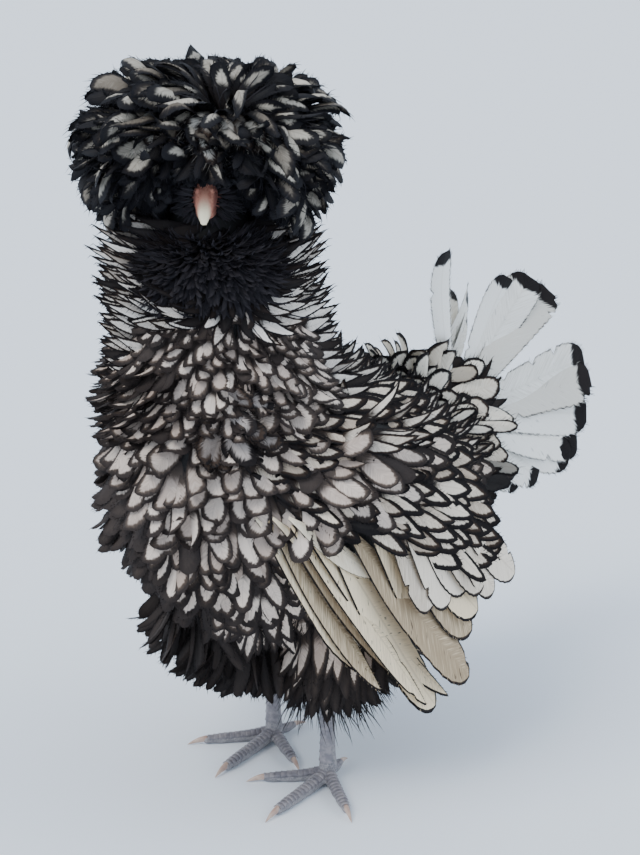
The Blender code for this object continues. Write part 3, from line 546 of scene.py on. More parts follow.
@dataclass(frozen=True)
class VaneForm:
    """Outline and section of one kind of feather.

    The half width grows from stem at the root to all of it at widest, then closes as a superellipse of
    powers blunt and point. inner is where the points between shaft and edge lie, or 0 for none, crown
    how far the edges dip in widths, and tip crowds stations there. fray draws in every other point of
    the edge towards the tip, as barbs do where they part. band is how far from the tip counts as far
    from the edge, so that less than 1 widens the dark tip.
    """

    stem: float = 0.18
    widest: float = 0.66
    blunt: float = 2.2
    point: float = 2.1
    stations: int = 11
    fray: float = 0.03
    inner: float = 0.0
    crown: float = 0.14
    thick: float = 0.35 * MM
    ragged: float = 0.04
    notches: float = 0.0
    tip: float = 1.35
    lopsided: float = 0.0
    sweep: float = 0.0
    band: float = 0.60

    def marks(self) -> Array:
        """Places of the stations along the shaft, the last at the tip."""
        return 1 - (1 - np.linspace(0, 1, self.stations)) ** self.tip

    def shares(self) -> Array:
        """Share of the half width at each station."""
        t = self.marks()
        rise = self.stem + (1 - self.stem) * np.sin(0.5 * math.pi * np.clip(t / self.widest, 0, 1))
        close = np.clip((t - self.widest) / (1 - self.widest), 0, 1)
        return rise * (1 - close**self.blunt) ** (1 / self.point)

    def columns(self) -> tuple[float, ...]:
        """Places across the vane, from its left edge to its right one."""
        return (-1.0, -self.inner, 0.0, self.inner, 1.0) if self.inner else (-1.0, 0.0, 1.0)


@dataclass
class Tract:
    """Places, lies and sizes of the feathers of one tract, one row each."""

    roots: Array
    lies: Array
    outs: Array
    lengths: Array
    widths: Array
    curls: Array
    places: Array
    bends: Array | float = 0.0
    rolls: Array | float = 0.0
    pales: Array | float = 1.0
    tones: Array | float = 0.5

    def __post_init__(self) -> None:
        """Gives each feather its own copy of a value that all of them share."""
        for name, value in vars(self).items():
            if np.ndim(value) == 0:
                setattr(self, name, np.full(len(self.roots), float(value)))

    def loosen(self, draw: Draw, bend: Array | float, roll: float, dark: Array | float = 0.0) -> "Tract":
        """Bends, rolls, darkens and tones the feathers, each by its own draw.

        Args:
            draw: Seeded numbers.
            bend: Spread of the sideways bends, or the bends themselves.
            roll: Spread of the rolls about the shaft.
            dark: Chance that a feather is dark all over, where some are.

        Returns:
            This tract.
        """
        count = len(self.roots)
        self.bends = draw.normal(0, bend, count) if np.ndim(bend) == 0 else bend
        self.rolls = draw.normal(0, roll, count)
        if np.any(dark):
            self.pales = 1 - 0.99 * (draw.random(count) < dark)
        self.tones = draw.random(count)
        return self

    def tips(self) -> Array:
        """Offsets of the tips from the roots, for feathers of length one."""
        return self.steps().mean(1)

    def peaks(self) -> Array:
        """How high above their roots the shafts rise at most, for feathers of length one."""
        climb = self.steps()[..., 2]
        return np.cumsum(climb, 1).max(1) / climb.shape[1]

    def steps(self) -> Array:
        """Directions of short, equal steps along the shafts."""
        fine = np.linspace(0, 1, 21)
        angle = between_knots(self.curls, 0.5 * (fine[1:] + fine[:-1]))[..., None]
        return np.cos(angle) * self.lies[:, None] + np.sin(angle) * self.outs[:, None]

    def reach(self, centre: Array, axes: Array, low: float, high: float) -> None:
        """Sets the lengths so that the tips end on an ellipsoid of the head.

        Args:
            centre: The ellipsoid's middle.
            axes: Its half sizes to the side, forward and up, one row for all or each.
            low: Least length.
            high: Greatest length.
        """
        start = (self.roots - centre) @ HEAD_TURNED / axes
        way = self.tips() @ HEAD_TURNED / axes
        a, b, c = (way * way).sum(1), (start * way).sum(1), (start * start).sum(1) - 1
        root = np.sqrt(np.maximum(b * b - a * c, 0.0))
        self.lengths = np.clip((root - b) / a, low, high)

    def wisps(self, draw: Draw, times: float, width: float) -> "Tract":
        """Thin strands that rise among the feathers and end near their tips.

        Args:
            draw: Seeded numbers.
            times: Strands for each feather.
            width: Width of a strand.

        Returns:
            The strands' tract.
        """
        count = int(times * len(self.roots))
        made = self.keep(draw.integers(0, len(self.roots), count))
        side = np.cross(made.lies, made.outs)
        made.lies = across(made.lies + side * draw.normal(0, 0.35, (count, 1)), made.outs)
        made.lengths = made.lengths * draw.uniform(0.70, 0.96, count)
        made.widths = width * draw.uniform(0.7, 1.3, count)
        made.curls = made.curls + draw.normal(0, 0.10, (count, 1))
        made.bends = made.bends + draw.normal(0, 0.10, count)
        made.tones = draw.random(count)
        return made

    def keep(self, mask: Array) -> "Tract":
        """The feathers that the mask picks."""
        return Tract(**{name: value[mask] for name, value in vars(self).items()})


def between_knots(rows: Array, places: Array) -> Array:
    """Values of each row at places from 0 to 1 along its evenly spaced knots."""
    last = rows.shape[1] - 1
    low = np.clip((places * last).astype(int), 0, last - 1)
    share = places * last - low
    return rows[:, low] * (1 - share) + rows[:, low + 1] * share


def wobble(draw: Draw, count: int, t: Array, strength: float) -> Array:
    """Smooth, seeded factors about 1 along each of count shafts."""
    waves = np.arange(1, 5)[:, None]
    phase = draw.uniform(0, 2 * math.pi, (count, 4, 1))
    size = draw.normal(0, 0.6, (count, 4, 1)) * strength
    return 1 + (size * np.sin(math.pi * waves * t + phase)).sum(1)


@dataclass(frozen=True)
class Fringe:
    """Loose barb ends along a vane's edges: how many, how long and wide, and where they begin.

    lit is the greatest distance from the edge that a barb is coloured for, in millimetres, so that some
    of them are pale where a feather has almost no rim.
    """

    each: int
    reach: float
    width: float = 0.45 * MM
    start: float = 0.30
    lit: float = 0.0


@dataclass
class Grown:
    """The worked-out course of every vane of a tract, as (feathers, stations)."""

    path: Array
    side: Array
    face: Array
    tangent: Array
    left: Array
    right: Array


# Side of a feather's patch on the bake map.
PATCH = 0.003


def mesh_from(name: str, points: Array, faces: Array, values: dict[str, Array], patch: Array) -> Obj:
    """A smooth triangle mesh with stored vectors and its bake map.

    Args:
        name: The piece's name.
        points: Vertices in the bird's frame.
        faces: Triangles of vertex numbers.
        values: A vector at each vertex, by attribute name.
        patch: Each vertex's place on the bake map.

    Returns:
        The piece, at the origin.
    """
    corners = faces.ravel().astype(np.int32)
    mesh = bpy.data.meshes.new(name)
    mesh.vertices.add(len(points))
    mesh.vertices.foreach_set("co", (points - ORIGIN).astype(np.float32).ravel())
    mesh.loops.add(len(corners))
    mesh.loops.foreach_set("vertex_index", corners)
    mesh.polygons.add(len(faces))
    mesh.polygons.foreach_set("loop_start", np.arange(0, len(corners), 3, dtype=np.int32))
    mesh.update(calc_edges=True)
    mesh.polygons.foreach_set("use_smooth", np.ones(len(faces), bool))
    obj = linked(name, mesh)
    for label, vectors in values.items():
        store(obj, label, vectors)
    layer = mesh.uv_layers.new(name="OFBake", do_init=False)
    layer.uv.foreach_set("vector", patch[corners].astype(np.float32).ravel())
    return obj


class Vanes:
    """Closed vanes for a whole tract, made as one mesh, and the loose barbs along their edges."""

    def __init__(self, form: VaneForm, seed: int, tract: Tract) -> None:
        """Works out the course of every vane, with seeded raggedness."""
        self.form = form
        self.draw = default_rng(seed)
        self.tract = tract
        self.grown = self.grow()

    def grow(self) -> Grown:
        """Centrelines, directions and half widths at every station."""
        form, draw, tract = self.form, self.draw, self.tract
        t = form.marks()
        count, stations = len(tract.roots), len(t)
        share = form.shares()
        length = tract.lengths[:, None]
        angle = between_knots(tract.curls, t)
        middle = between_knots(tract.curls, 0.5 * (t[1:] + t[:-1]))
        lie, out = tract.lies[:, None], tract.outs[:, None]
        way = np.cos(middle)[..., None] * lie + np.sin(middle)[..., None] * out
        steps = way * (np.diff(t) * length)[..., None]
        side = np.cross(tract.lies, tract.outs)[:, None]
        path = np.concatenate([np.zeros((count, 1, 3)), np.cumsum(steps, 1)], 1)
        path = path + side * (tract.bends[:, None] * length * t**2)[..., None]
        path[:, 0] -= steps[:, 0] * 0.6
        path = path + tract.roots[:, None]
        face = np.cos(angle)[..., None] * out - np.sin(angle)[..., None] * lie
        tangent = np.cos(angle)[..., None] * lie + np.sin(angle)[..., None] * out
        roll = (tract.rolls[:, None] * t)[..., None]
        side, face = side * np.cos(roll) + face * np.sin(roll), face * np.cos(roll) - side * np.sin(roll)
        half = 0.5 * tract.widths[:, None] * share
        wear = np.stack([wobble(draw, count, t, form.ragged) for _ in range(2)])
        notched = draw.random((2, count, stations)) < form.notches * ease(0.2, 0.5, t)
        wear = np.where(notched, wear * 0.72, wear)
        comb = form.fray * ease(0.3, 0.75, t) * (np.arange(stations) % 2 == 1)
        comb = 1 - comb * draw.uniform(0.3, 1.7, (2, count, 1))
        left = half * wear[0] * (1 - form.lopsided) * comb[0]
        right = half * wear[1] * (1 + form.lopsided) * comb[1]
        return Grown(path, side, face, tangent, left, right)

    def faces(self) -> Array:
        """Triangles of one feather: a crowned top, a flatter back, a root cap and a tip."""
        made = []
        top = len(self.form.columns())
        ring = top + 1
        last = self.form.stations - 1
        for k in range(last - 1):
            a, b = k * ring, (k + 1) * ring
            for j in range(top - 1):
                made += [(a + j, a + j + 1, b + j + 1), (a + j, b + j + 1, b + j)]
            low_a, low_b = a + top, b + top
            made += [(low_a, a, b), (low_a, b, low_b)]
            made += [(b - 2, low_a, low_b), (b - 2, low_b, b + top - 1)]
        a, tip = (last - 1) * ring, last * ring
        made += [(a + j, a + j + 1, tip) for j in range(top - 1)]
        made += [(a + top, a, tip), (a + top - 1, a + top, tip)]
        made += [(top, j + 1, j) for j in range(top - 1)]
        return np.array(made)

    def points(self) -> tuple[Array, Array, Array]:
        """Vertices and shading values of every feather.

        Returns:
            Vertices, then (across, along, barb) and (edge, tone, pale) at each, as (feathers, points, 3).
        """
        form, tract, grown = self.form, self.tract, self.grown
        length = tract.lengths[:, None]
        half = 0.5 * (grown.left + grown.right)
        columns, shown, laced = [], [], []
        along = np.broadcast_to(form.marks(), half.shape)
        beyond = (1 - along) * length * form.band
        margin = self.draw.uniform(0.82, 1.22, (len(length), 1))
        for u in (*form.columns(), None):
            wide = grown.left if (u or 0.0) < 0 else grown.right
            v = 0.0 if u is None else u
            dip = -form.crown * 2 * half * v * v
            rise = -form.thick if u is None else form.thick * (1 - v * v)
            ahead = grown.tangent * (form.sweep * wide * abs(v))[..., None]
            aside = grown.side * (wide * v)[..., None]
            columns.append(grown.path + ahead + aside + grown.face * (dip + 0.5 * rise)[..., None])
            barb = along * length - np.abs(v) * wide
            shown.append(cols(v, along, barb / MM))
            near = ((wide + 1e-6) ** -2.0 + (beyond + 1e-6) ** -2.0) ** -0.5
            edge = near * (1 - abs(v)) / MM / margin
            tone = np.broadcast_to(tract.tones[:, None], half.shape)
            pale = np.broadcast_to(tract.pales[:, None], half.shape)
            laced.append(cols(edge, tone, pale))
        cut = (form.stations - 1) * (len(form.columns()) + 1) + 1
        stacked = [np.stack(x, 2).reshape(len(length), -1, 3)[:, :cut] for x in (columns, shown, laced)]
        return stacked[0], stacked[1], stacked[2]

    def patches(self, shown: Array) -> Array:
        """Places on the bake map, where each feather has a small patch of its own."""
        places = (shown[..., :2] * (0.5, 1) - (0, 0.5)) * PATCH + self.tract.places[:, None]
        return places.reshape(-1, 2)

    def build(self, name: str) -> Obj:
        """The vanes' mesh, with their outer edges kept sharp."""
        points, shown, laced = self.points()
        count, each = points.shape[:2]
        faces = (self.faces()[None] + (np.arange(count) * each)[:, None, None]).reshape(-1, 3)
        values = {"vane": shown.reshape(-1, 3), "lace": laced.reshape(-1, 3)}
        obj = mesh_from(name, points.reshape(-1, 3), faces, values, self.patches(shown))
        mesh = obj.data
        rim = np.abs(shown[..., 0]).ravel() > 0.99
        rim |= (np.arange(count * each) % each) == each - 1
        ends = np.empty(len(mesh.edges) * 2, np.int32)
        mesh.edges.foreach_get("vertices", ends)
        sharp = mesh.attributes.new("sharp_edge", "BOOLEAN", "EDGE")
        sharp.data.foreach_set("value", rim[ends.reshape(-1, 2)].all(1))
        mesh.update()
        return obj

    def barbs(self, name: str, fringe: Fringe) -> Obj:
        """Thin closed slivers that carry on the barbs past the vanes' edges.

        Args:
            name: The piece's name.
            fringe: How many there are, and how long.

        Returns:
            The piece, at the origin.
        """
        form, tract, grown, draw = self.form, self.tract, self.grown, self.draw
        t = form.marks()
        feathers, each = len(tract.roots), fringe.each
        sign = np.where(np.arange(each) % 2 == 0, 1.0, -1.0)
        order = np.arange(each) + draw.random((feathers, each))
        place = fringe.start + (0.995 - fringe.start) * order / each
        low = np.clip(np.searchsorted(t, place) - 1, 0, len(t) - 2)
        share = (place - t[low]) / (t[low + 1] - t[low])
        row = np.arange(feathers)[:, None]

        def at(values: Array) -> Array:
            """Values of the stations at each barb's place."""
            mixed = share[..., None] if values.ndim == 3 else share
            return values[row, low] * (1 - mixed) + values[row, low + 1] * mixed

        wide = np.where(sign > 0, at(grown.right), at(grown.left))
        side, face, tangent = at(grown.side) * sign[:, None], unit(at(grown.face)), at(grown.tangent)
        base = at(grown.path) + tangent * (form.sweep * wide)[..., None] + side * (wide * 0.93)[..., None]
        base = base - face * (form.crown * 1.7 * wide)[..., None]
        angle = np.interp(place, (0.3, 0.85, 1.0), (0.85, 0.60, 0.30)) + draw.normal(0, 0.14, place.shape)
        way = tangent * np.cos(angle)[..., None] + side * np.sin(angle)[..., None]
        way = unit(way + face * draw.normal(0.0, 0.14, place.shape)[..., None])
        length = tract.lengths[:, None]
        reach = fringe.reach * draw.uniform(0.5, 1.25, place.shape) * length / tract.lengths.mean()
        width = fringe.width * draw.uniform(0.7, 1.3, place.shape)[..., None]
        aside = unit(np.cross(face, way)) * width * 0.5
        corners = (base - aside, base + aside, base + face * width * 0.5, base + way * reach[..., None])
        points = np.stack(corners, 2).reshape(-1, 3)
        sliver = np.array(((0, 2, 1), (0, 1, 3), (1, 2, 3), (2, 0, 3)))
        faces = (sliver[None] + (np.arange(feathers * each) * 4)[:, None, None]).reshape(-1, 3)
        shown = cols(sign, place, (place * length - wide) / MM)
        lit = fringe.lit * draw.random(place.shape)
        tones, pales = (np.broadcast_to(x[:, None], place.shape) for x in (tract.tones, tract.pales))
        laced = cols(lit, tones, pales)
        values = {label: np.repeat(x.reshape(-1, 3), 4, 0) for label, x in (("vane", shown), ("lace", laced))}
        return mesh_from(name, points, faces, values, np.repeat(self.patches(shown), 4, 0))


BODY_FORM = VaneForm()
COVERT_FORM = VaneForm(widest=0.58, blunt=2.0, point=1.7, band=0.65)
LANCE_FORM = VaneForm(widest=0.50, blunt=1.7, point=1.35, fray=0.06, band=0.70)
HACKLE_FORM = VaneForm(
    stem=0.25, widest=0.42, blunt=1.4, point=1.15, stations=9, fray=0.06, crown=0.09, band=0.65,
)
CREST_FORM = VaneForm(
    stem=0.15, widest=0.73, blunt=2.1, point=2.0, fray=0.08, crown=0.20, ragged=0.08, notches=0.05,
    band=0.55,
)
PLUME_FORM = VaneForm(
    stem=0.20, widest=0.74, blunt=2.5, point=2.2, stations=14, inner=0.62, crown=0.20, ragged=0.05,
    band=0.45,
)
BEARD_FORM = VaneForm(stem=0.3, widest=0.55, blunt=1.5, point=1.2, stations=7, fray=0.1, crown=0.16)
WISP_FORM = VaneForm(
    stem=0.7, widest=0.5, blunt=1.5, point=1.0, stations=5, fray=0.0, crown=0.09, thick=0.25 * MM,
)
QUILL_FORM = VaneForm(
    stem=0.15, widest=0.72, blunt=2.6, point=2.2, stations=26, inner=0.62, crown=0.05, thick=0.6 * MM,
    ragged=0.02, notches=0.03, tip=1.5, band=1.0,
)
TAIL_FORM = VaneForm(
    stem=0.12, widest=0.80, blunt=2.6, point=2.2, stations=40, fray=0.05, inner=0.62, crown=0.05,
    thick=0.5 * MM, ragged=0.03, notches=0.04, tip=1.3, sweep=0.20, band=1.0,
)
PRIMARY_FORM = VaneForm(
    stem=0.2, widest=0.55, point=1.4, stations=26, inner=0.62, crown=0.05, thick=0.6 * MM, ragged=0.02,
    notches=0.03, tip=1.5, lopsided=0.25, band=1.0,
)


# ---------------------------------------------------------------- finishes


class Tree:
    """A short way to write a node tree."""

    def __init__(self, nodes: NodeTree) -> None:
        """Keeps the tree that nodes are added to."""
        self.tree = nodes

    @classmethod
    def material(cls, name: str) -> tuple[Material, "Tree"]:
        """An empty material and a writer for it."""
        made = bpy.data.materials.new(name)
        made.use_nodes = True
        made.node_tree.nodes.clear()
        return made, cls(made.node_tree)

    def add(self, kind: str, inputs: dict | None = None, **settings: object) -> Node:
        """Adds a node.

        Args:
            kind: The node's type name.
            inputs: Values or sockets by input name or number; a colour is three numbers.
            settings: The node's own properties.

        Returns:
            The new node.
        """
        node = self.tree.nodes.new(kind)
        for name, value in settings.items():
            setattr(node, name, value)
        self.feed(node, inputs or {})
        return node

    def feed(self, node: Node, inputs: dict) -> None:
        """Sets or links a node's inputs by name or number."""
        for name, value in inputs.items():
            socket = node.inputs[name]
            if isinstance(value, Socket):
                self.tree.links.new(value, socket)
            else:
                socket.default_value = (*value, 1.0) if socket.type == "RGBA" else value

    def maths(self, operation: str, *values: object) -> Socket:
        """The result of a sum on numbers or sockets."""
        return self.add("ShaderNodeMath", dict(enumerate(values)), operation=operation).outputs[0]

    def vector(self, operation: str, *values: object) -> Node:
        """A sum on vectors."""
        return self.add("ShaderNodeVectorMath", dict(enumerate(values)), operation=operation)

    def step(self, value: object, low: object, high: object) -> Socket:
        """A smooth step from 0 at low to 1 at high."""
        inputs = {"Value": value, "From Min": low, "From Max": high}
        return self.add("ShaderNodeMapRange", inputs, interpolation_type="SMOOTHSTEP").outputs["Result"]

    def mix(self, share: object, first: object, second: object) -> Socket:
        """A colour between two."""
        return self.add("ShaderNodeMix", {0: share, 6: first, 7: second}, data_type="RGBA").outputs[2]

    def parts(self, vector: Socket) -> list[Socket]:
        """A vector's three numbers."""
        return list(self.add("ShaderNodeSeparateXYZ", {0: vector}).outputs)

    def joined(self, *parts: object) -> Socket:
        """A vector from its three numbers."""
        return self.add("ShaderNodeCombineXYZ", dict(enumerate(parts))).outputs[0]

    def place(self) -> Socket:
        """Places in the piece's own frame."""
        return self.add("ShaderNodeTexCoord").outputs["Object"]

    def stored(self, name: str) -> Node:
        """A value that the mesh stores."""
        return self.add("ShaderNodeAttribute", attribute_name=name)

    def noise(self, vector: Socket, scale: float, detail: float = 2.0) -> Socket:
        """Fractal noise from 0 to 1."""
        inputs = {"Vector": vector, "Scale": scale, "Detail": detail}
        return self.add("ShaderNodeTexNoise", inputs).outputs["Fac"]

    def surface(self, inputs: dict, bump: tuple[float, float, Socket] | None = None) -> None:
        """Ends the material.

        Args:
            inputs: What the shader is given.
            bump: A bump's strength, distance and height.
        """
        if bump:
            given = dict(zip(("Strength", "Distance", "Height"), bump))
            inputs = inputs | {"Normal": self.add("ShaderNodeBump", given).outputs[0]}
        shader = self.add("ShaderNodeBsdfPrincipled", inputs)
        self.add("ShaderNodeOutputMaterial", {"Surface": shader.outputs[0]})


def group(name: str, inputs: dict[str, float], outputs: tuple[str, ...]) -> tuple[NodeTree, Tree, list]:
    """A shader node group with named number sockets.

    Args:
        name: The group's name.
        inputs: Names and rest values of its inputs.
        outputs: Names of its outputs.

    Returns:
        The group, a writer for it and its input sockets in order.
    """
    made = bpy.data.node_groups.new(name, "ShaderNodeTree")
    for label, rest in inputs.items():
        made.interface.new_socket(label, in_out="INPUT", socket_type="NodeSocketFloat").default_value = rest
    for label in outputs:
        made.interface.new_socket(label, in_out="OUTPUT", socket_type="NodeSocketFloat")
    tree = Tree(made)
    entry = tree.add("NodeGroupInput")
    return made, tree, [entry.outputs[label] for label in inputs]


def lacing_group() -> NodeTree:
    """Where a feather is pale, brown and specked.

    The pale middle lies inside the rim and past the downy base, and ends before the tip. Its edge
    follows the barbs. Brown is the inner part of the rim.
    """
    inputs = {"Across": 0, "Along": 0, "Barb": 0, "Edge": 3, "Seed": 0.5}
    inputs |= {"Rim": 1.5, "Soft": 0.6, "Start": 0.3, "Fade": 0.2, "Tip": 1.2}
    made, tree, given = group("Lacing", inputs, ("Pale", "Brown", "Line", "Speck"))
    aside, along, barb, near, own, rim, soft, start, fade, tip = given
    seed = tree.maths("MULTIPLY", own, 91.0)
    ragged = tree.maths("MULTIPLY_ADD", tree.noise(tree.joined(barb, aside, seed), 0.9, 3.0), 2.0, -1.0)
    wander = tree.maths("MULTIPLY", tree.maths("MULTIPLY_ADD", soft, 0.5, 0.12), ragged)
    edge = tree.maths("ADD", wander, near)
    within = tree.step(edge, rim, tree.maths("MULTIPLY_ADD", soft, 0.6, rim))
    brown = tree.step(edge, tree.maths("MULTIPLY", rim, 0.30), rim)
    base = tree.maths("MULTIPLY_ADD", ragged, 0.10, along)
    past = tree.step(base, start, tree.maths("ADD", start, fade))
    end = tree.maths("MULTIPLY_ADD", ragged, 0.035, along)
    before = tree.step(end, tree.maths("ADD", tip, 0.02), tip)
    line = tree.step(tree.maths("ABSOLUTE", aside), 0.10, 0.02)
    fleck = tree.joined(barb, tree.maths("MULTIPLY", aside, 4.0), seed)
    speck = tree.step(tree.noise(fleck, 0.55, 1.0), 0.70, 0.76)
    pale = tree.maths("MULTIPLY", tree.maths("MULTIPLY", within, past), before)
    tree.add("NodeGroupOutput", {"Pale": pale, "Brown": brown, "Line": line, "Speck": speck})
    return made


def barb_group() -> NodeTree:
    """Streaks and ridges that run out from the shaft along the barbs."""
    inputs = {"Across": 0, "Along": 0, "Barb": 0, "Seed": 0.5, "Fine": 1.0}
    made, tree, (aside, _, barb, own, finer) = group("Barbs", inputs, ("Streak", "Height"))
    seed, fine = tree.maths("MULTIPLY", own, 47.0), tree.maths("MULTIPLY", barb, finer)
    spot = tree.joined(fine, tree.maths("MULTIPLY", aside, 0.8), seed)
    streak, ridge = tree.noise(spot, 1.6, 4.0), tree.noise(spot, 4.5, 2.0)
    shaft = tree.step(tree.maths("ABSOLUTE", aside), 0.12, 0.0)
    height = tree.maths("ADD", tree.maths("MULTIPLY", ridge, 0.7), tree.maths("MULTIPLY", shaft, 0.8))
    tree.add("NodeGroupOutput", {"Streak": streak, "Height": height})
    return made


@dataclass(frozen=True)
class FeatherFinish:
    """The look of one tract's feathers.

    rim, soft, start and tip bound the pale middle. pale and worn are its two tones, dark and rust those
    of the edge, and down that of the base. speck is how dark the flecks on it are.
    """

    name: str
    pale: Colour
    worn: Colour
    dark: Colour = (0.0095, 0.0078, 0.0085)
    rust: Colour = (0.046, 0.030, 0.022)
    down: Colour = (0.016, 0.013, 0.013)
    rim: float = 2.0
    soft: float = 0.7
    start: float = 0.32
    fade: float = 0.22
    tip: float = 1.2
    speck: float = 0.0
    fine: float = 1.0
    rough: float = 0.58
    shine: float = 0.12
    bump: float = 0.35
    slot: str = "laced_feather"

    def colour(
        self, tree: Tree, laced: Node, streak: Socket, along: Socket, tone: Socket, pale: Socket
    ) -> Socket:
        """The colour over one feather.

        Args:
            tree: The material's writer.
            laced: The lacing group's node.
            streak: The barbs' streaks.
            along: Place along the shaft.
            tone: The feather's own tone, 0 to 1.
            pale: How pale this feather's middle is.

        Returns:
            The colour socket.
        """
        shift = tree.maths("MULTIPLY_ADD", tone, 0.7, -0.35)
        worn = tree.step(tree.maths("ADD", streak, shift), 0.25, 0.85)
        middle = tree.mix(worn, self.pale, self.worn)
        middle = tree.mix(tree.maths("MULTIPLY", laced.outputs["Line"], 0.3), middle, self.worn)
        browned = tree.step(tree.maths("ADD", streak, shift), 0.15, 0.75)
        browned = tree.maths("MULTIPLY", browned, tree.maths("MULTIPLY_ADD", pale, 0.75, 0.25))
        rim = tree.mix(tree.maths("MULTIPLY", laced.outputs["Brown"], browned), self.dark, self.rust)
        rim = tree.mix(tree.step(along, self.start + 0.1, self.start - 0.25), rim, self.down)
        mask = tree.maths("MULTIPLY", laced.outputs["Pale"], pale)
        if self.speck:
            clear = tree.maths("MULTIPLY_ADD", laced.outputs["Speck"], -self.speck, 1.0)
            mask = tree.maths("MULTIPLY", mask, clear)
        return tree.mix(mask, rim, middle)

    def build(self, groups: dict[str, NodeTree]) -> Material:
        """The material, fed by the vanes' own values."""
        material, tree = Tree.material(self.name)
        vane, lace = (tree.parts(tree.stored(name).outputs["Vector"]) for name in ("vane", "lace"))
        shape = {"Across": vane[0], "Along": vane[1], "Barb": vane[2], "Seed": lace[1]}
        bounds = {name.title(): getattr(self, name) for name in ("rim", "soft", "start", "fade", "tip")}
        laced = tree.add("ShaderNodeGroup", node_tree=groups["lacing"])
        barbs = tree.add("ShaderNodeGroup", node_tree=groups["barbs"])
        tree.feed(laced, shape | bounds | {"Edge": lace[0]})
        tree.feed(barbs, shape | {"Fine": self.fine})
        colour = self.colour(tree, laced, barbs.outputs["Streak"], vane[1], lace[1], lace[2])
        inputs = {"Base Color": colour, "Roughness": self.rough, "Specular IOR Level": self.shine}
        tree.surface(inputs, (self.bump, 0.25 * MM, barbs.outputs["Height"]))
        return material


LACED = FeatherFinish(
    "laced_feathers", (0.84, 0.71, 0.60), (0.46, 0.36, 0.295),
    dark=(0.0285, 0.0225, 0.0210), rust=(0.082, 0.060, 0.048), down=(0.034, 0.027, 0.025),
    rim=1.58, soft=1.0, start=0.36, fade=0.18,
)
CHEST = FeatherFinish(
    "chest_feathers", (0.82, 0.705, 0.61), (0.50, 0.405, 0.345),
    dark=(0.0360, 0.0285, 0.0265), rust=(0.100, 0.076, 0.062), down=(0.050, 0.040, 0.036),
    rim=1.15, soft=1.3, fade=0.18,
)
SADDLE = FeatherFinish(
    "saddle_feathers", (0.82, 0.75, 0.66), (0.46, 0.40, 0.33),
    rim=1.3, soft=1.0, start=0.30, tip=0.92,
)
COVERT = FeatherFinish(
    "covert_feathers", (0.90, 0.79, 0.645), (0.53, 0.43, 0.335),
    rim=1.7, soft=1.1, start=0.30, speck=0.5,
)
GREAT = FeatherFinish(
    "great_covert_feathers", (0.92, 0.82, 0.68), (0.52, 0.43, 0.33),
    dark=(0.0215, 0.0175, 0.0170),
    rim=0.75, soft=0.6, start=-0.2, speck=0.5,
)
RUMP = FeatherFinish(
    "rump_feathers", (0.92, 0.86, 0.74), (0.66, 0.57, 0.45),
    rim=0.56, soft=0.8, start=0.1, speck=0.4, slot="white_feather",
)
HACKLE = FeatherFinish(
    "hackle_feathers", (0.86, 0.80, 0.73), (0.40, 0.355, 0.31),
    rim=0.86, start=0.20, tip=0.87, fine=1.4,
)
CREST = FeatherFinish(
    "crest_feathers", (0.59, 0.545, 0.46), (0.20, 0.170, 0.135),
    dark=(0.0100, 0.0098, 0.0122), rust=(0.030, 0.025, 0.023),
    rim=1.45, soft=2.0, start=0.48, fade=0.16, tip=0.93, fine=1.3, bump=0.6, slot="black_feather",
)
FLUFFY = FeatherFinish(
    "fluffy_feathers", (0.44, 0.39, 0.36), (0.17, 0.145, 0.13),
    rim=1.0, soft=3.0, start=-0.4, tip=0.86, fine=1.6,
)
FLUFF = FeatherFinish(
    "fluff_feathers", (0.072, 0.062, 0.058), (0.036, 0.029, 0.027),
    dark=(0.0165, 0.0135, 0.0130), rust=(0.044, 0.032, 0.027),
    rim=1.0, soft=2.0, start=0.1, fine=1.5, slot="black_feather",
)
FRINGE = FeatherFinish(
    "fringe_feathers", (0.60, 0.57, 0.51), (0.17, 0.15, 0.13),
    down=(0.030, 0.026, 0.022),
    rim=0.9, soft=2.4, start=0.42, fade=0.3, slot="black_feather",
)
BLACK = FeatherFinish(
    "black_feathers", (0.094, 0.088, 0.098), (0.052, 0.048, 0.053),
    dark=(0.0300, 0.0280, 0.0330), rust=(0.030, 0.026, 0.028),
    rim=1.2, soft=1.0, start=0.3, rough=0.5, slot="black_feather",
)
FLIGHT = FeatherFinish(
    "flight_feathers", (0.92, 0.765, 0.525), (0.38, 0.285, 0.18),
    down=(0.6, 0.55, 0.45),
    rim=1.2, soft=0.2, start=-0.4, speck=1.1, fine=0.5, slot="white_feather",
)
PINION = FeatherFinish(
    "pinion_feathers", (0.95, 0.84, 0.65), (0.72, 0.60, 0.42),
    down=(0.6, 0.55, 0.45),
    rim=0.28, soft=0.2, start=-0.4, speck=0.3, fine=0.5, slot="white_feather",
)
TAIL = FeatherFinish(
    "tail_feathers", (0.98, 0.97, 0.92), (0.74, 0.71, 0.64),
    rust=(0.016, 0.013, 0.013), down=(0.7, 0.68, 0.6),
    rim=0.20, soft=0.45, start=-0.4, tip=0.90, speck=0.3, fine=0.5, slot="white_feather",
)


@dataclass(frozen=True)
class HideFinish:
    """A plain living or horny surface: two tones mixed by noise, with a fine grain."""

    name: str
    tones: tuple[Colour, Colour]
    scale: float
    rough: float
    grain: float = 900.0
    bump: float = 0.25
    shine: float = 0.5

    def build(self) -> Material:
        """The material, patterned on Object coordinates."""
        material, tree = Tree.material(self.name)
        place = tree.place()
        colour = tree.mix(tree.step(tree.noise(place, self.scale, 4.0), 0.3, 0.7), *self.tones)
        inputs = {"Base Color": colour, "Roughness": self.rough, "Specular IOR Level": self.shine}
        tree.surface(inputs, (self.bump, 0.3 * MM, tree.noise(place, self.grain)))
        return material


# ---------------------------------------------------------------- the skin


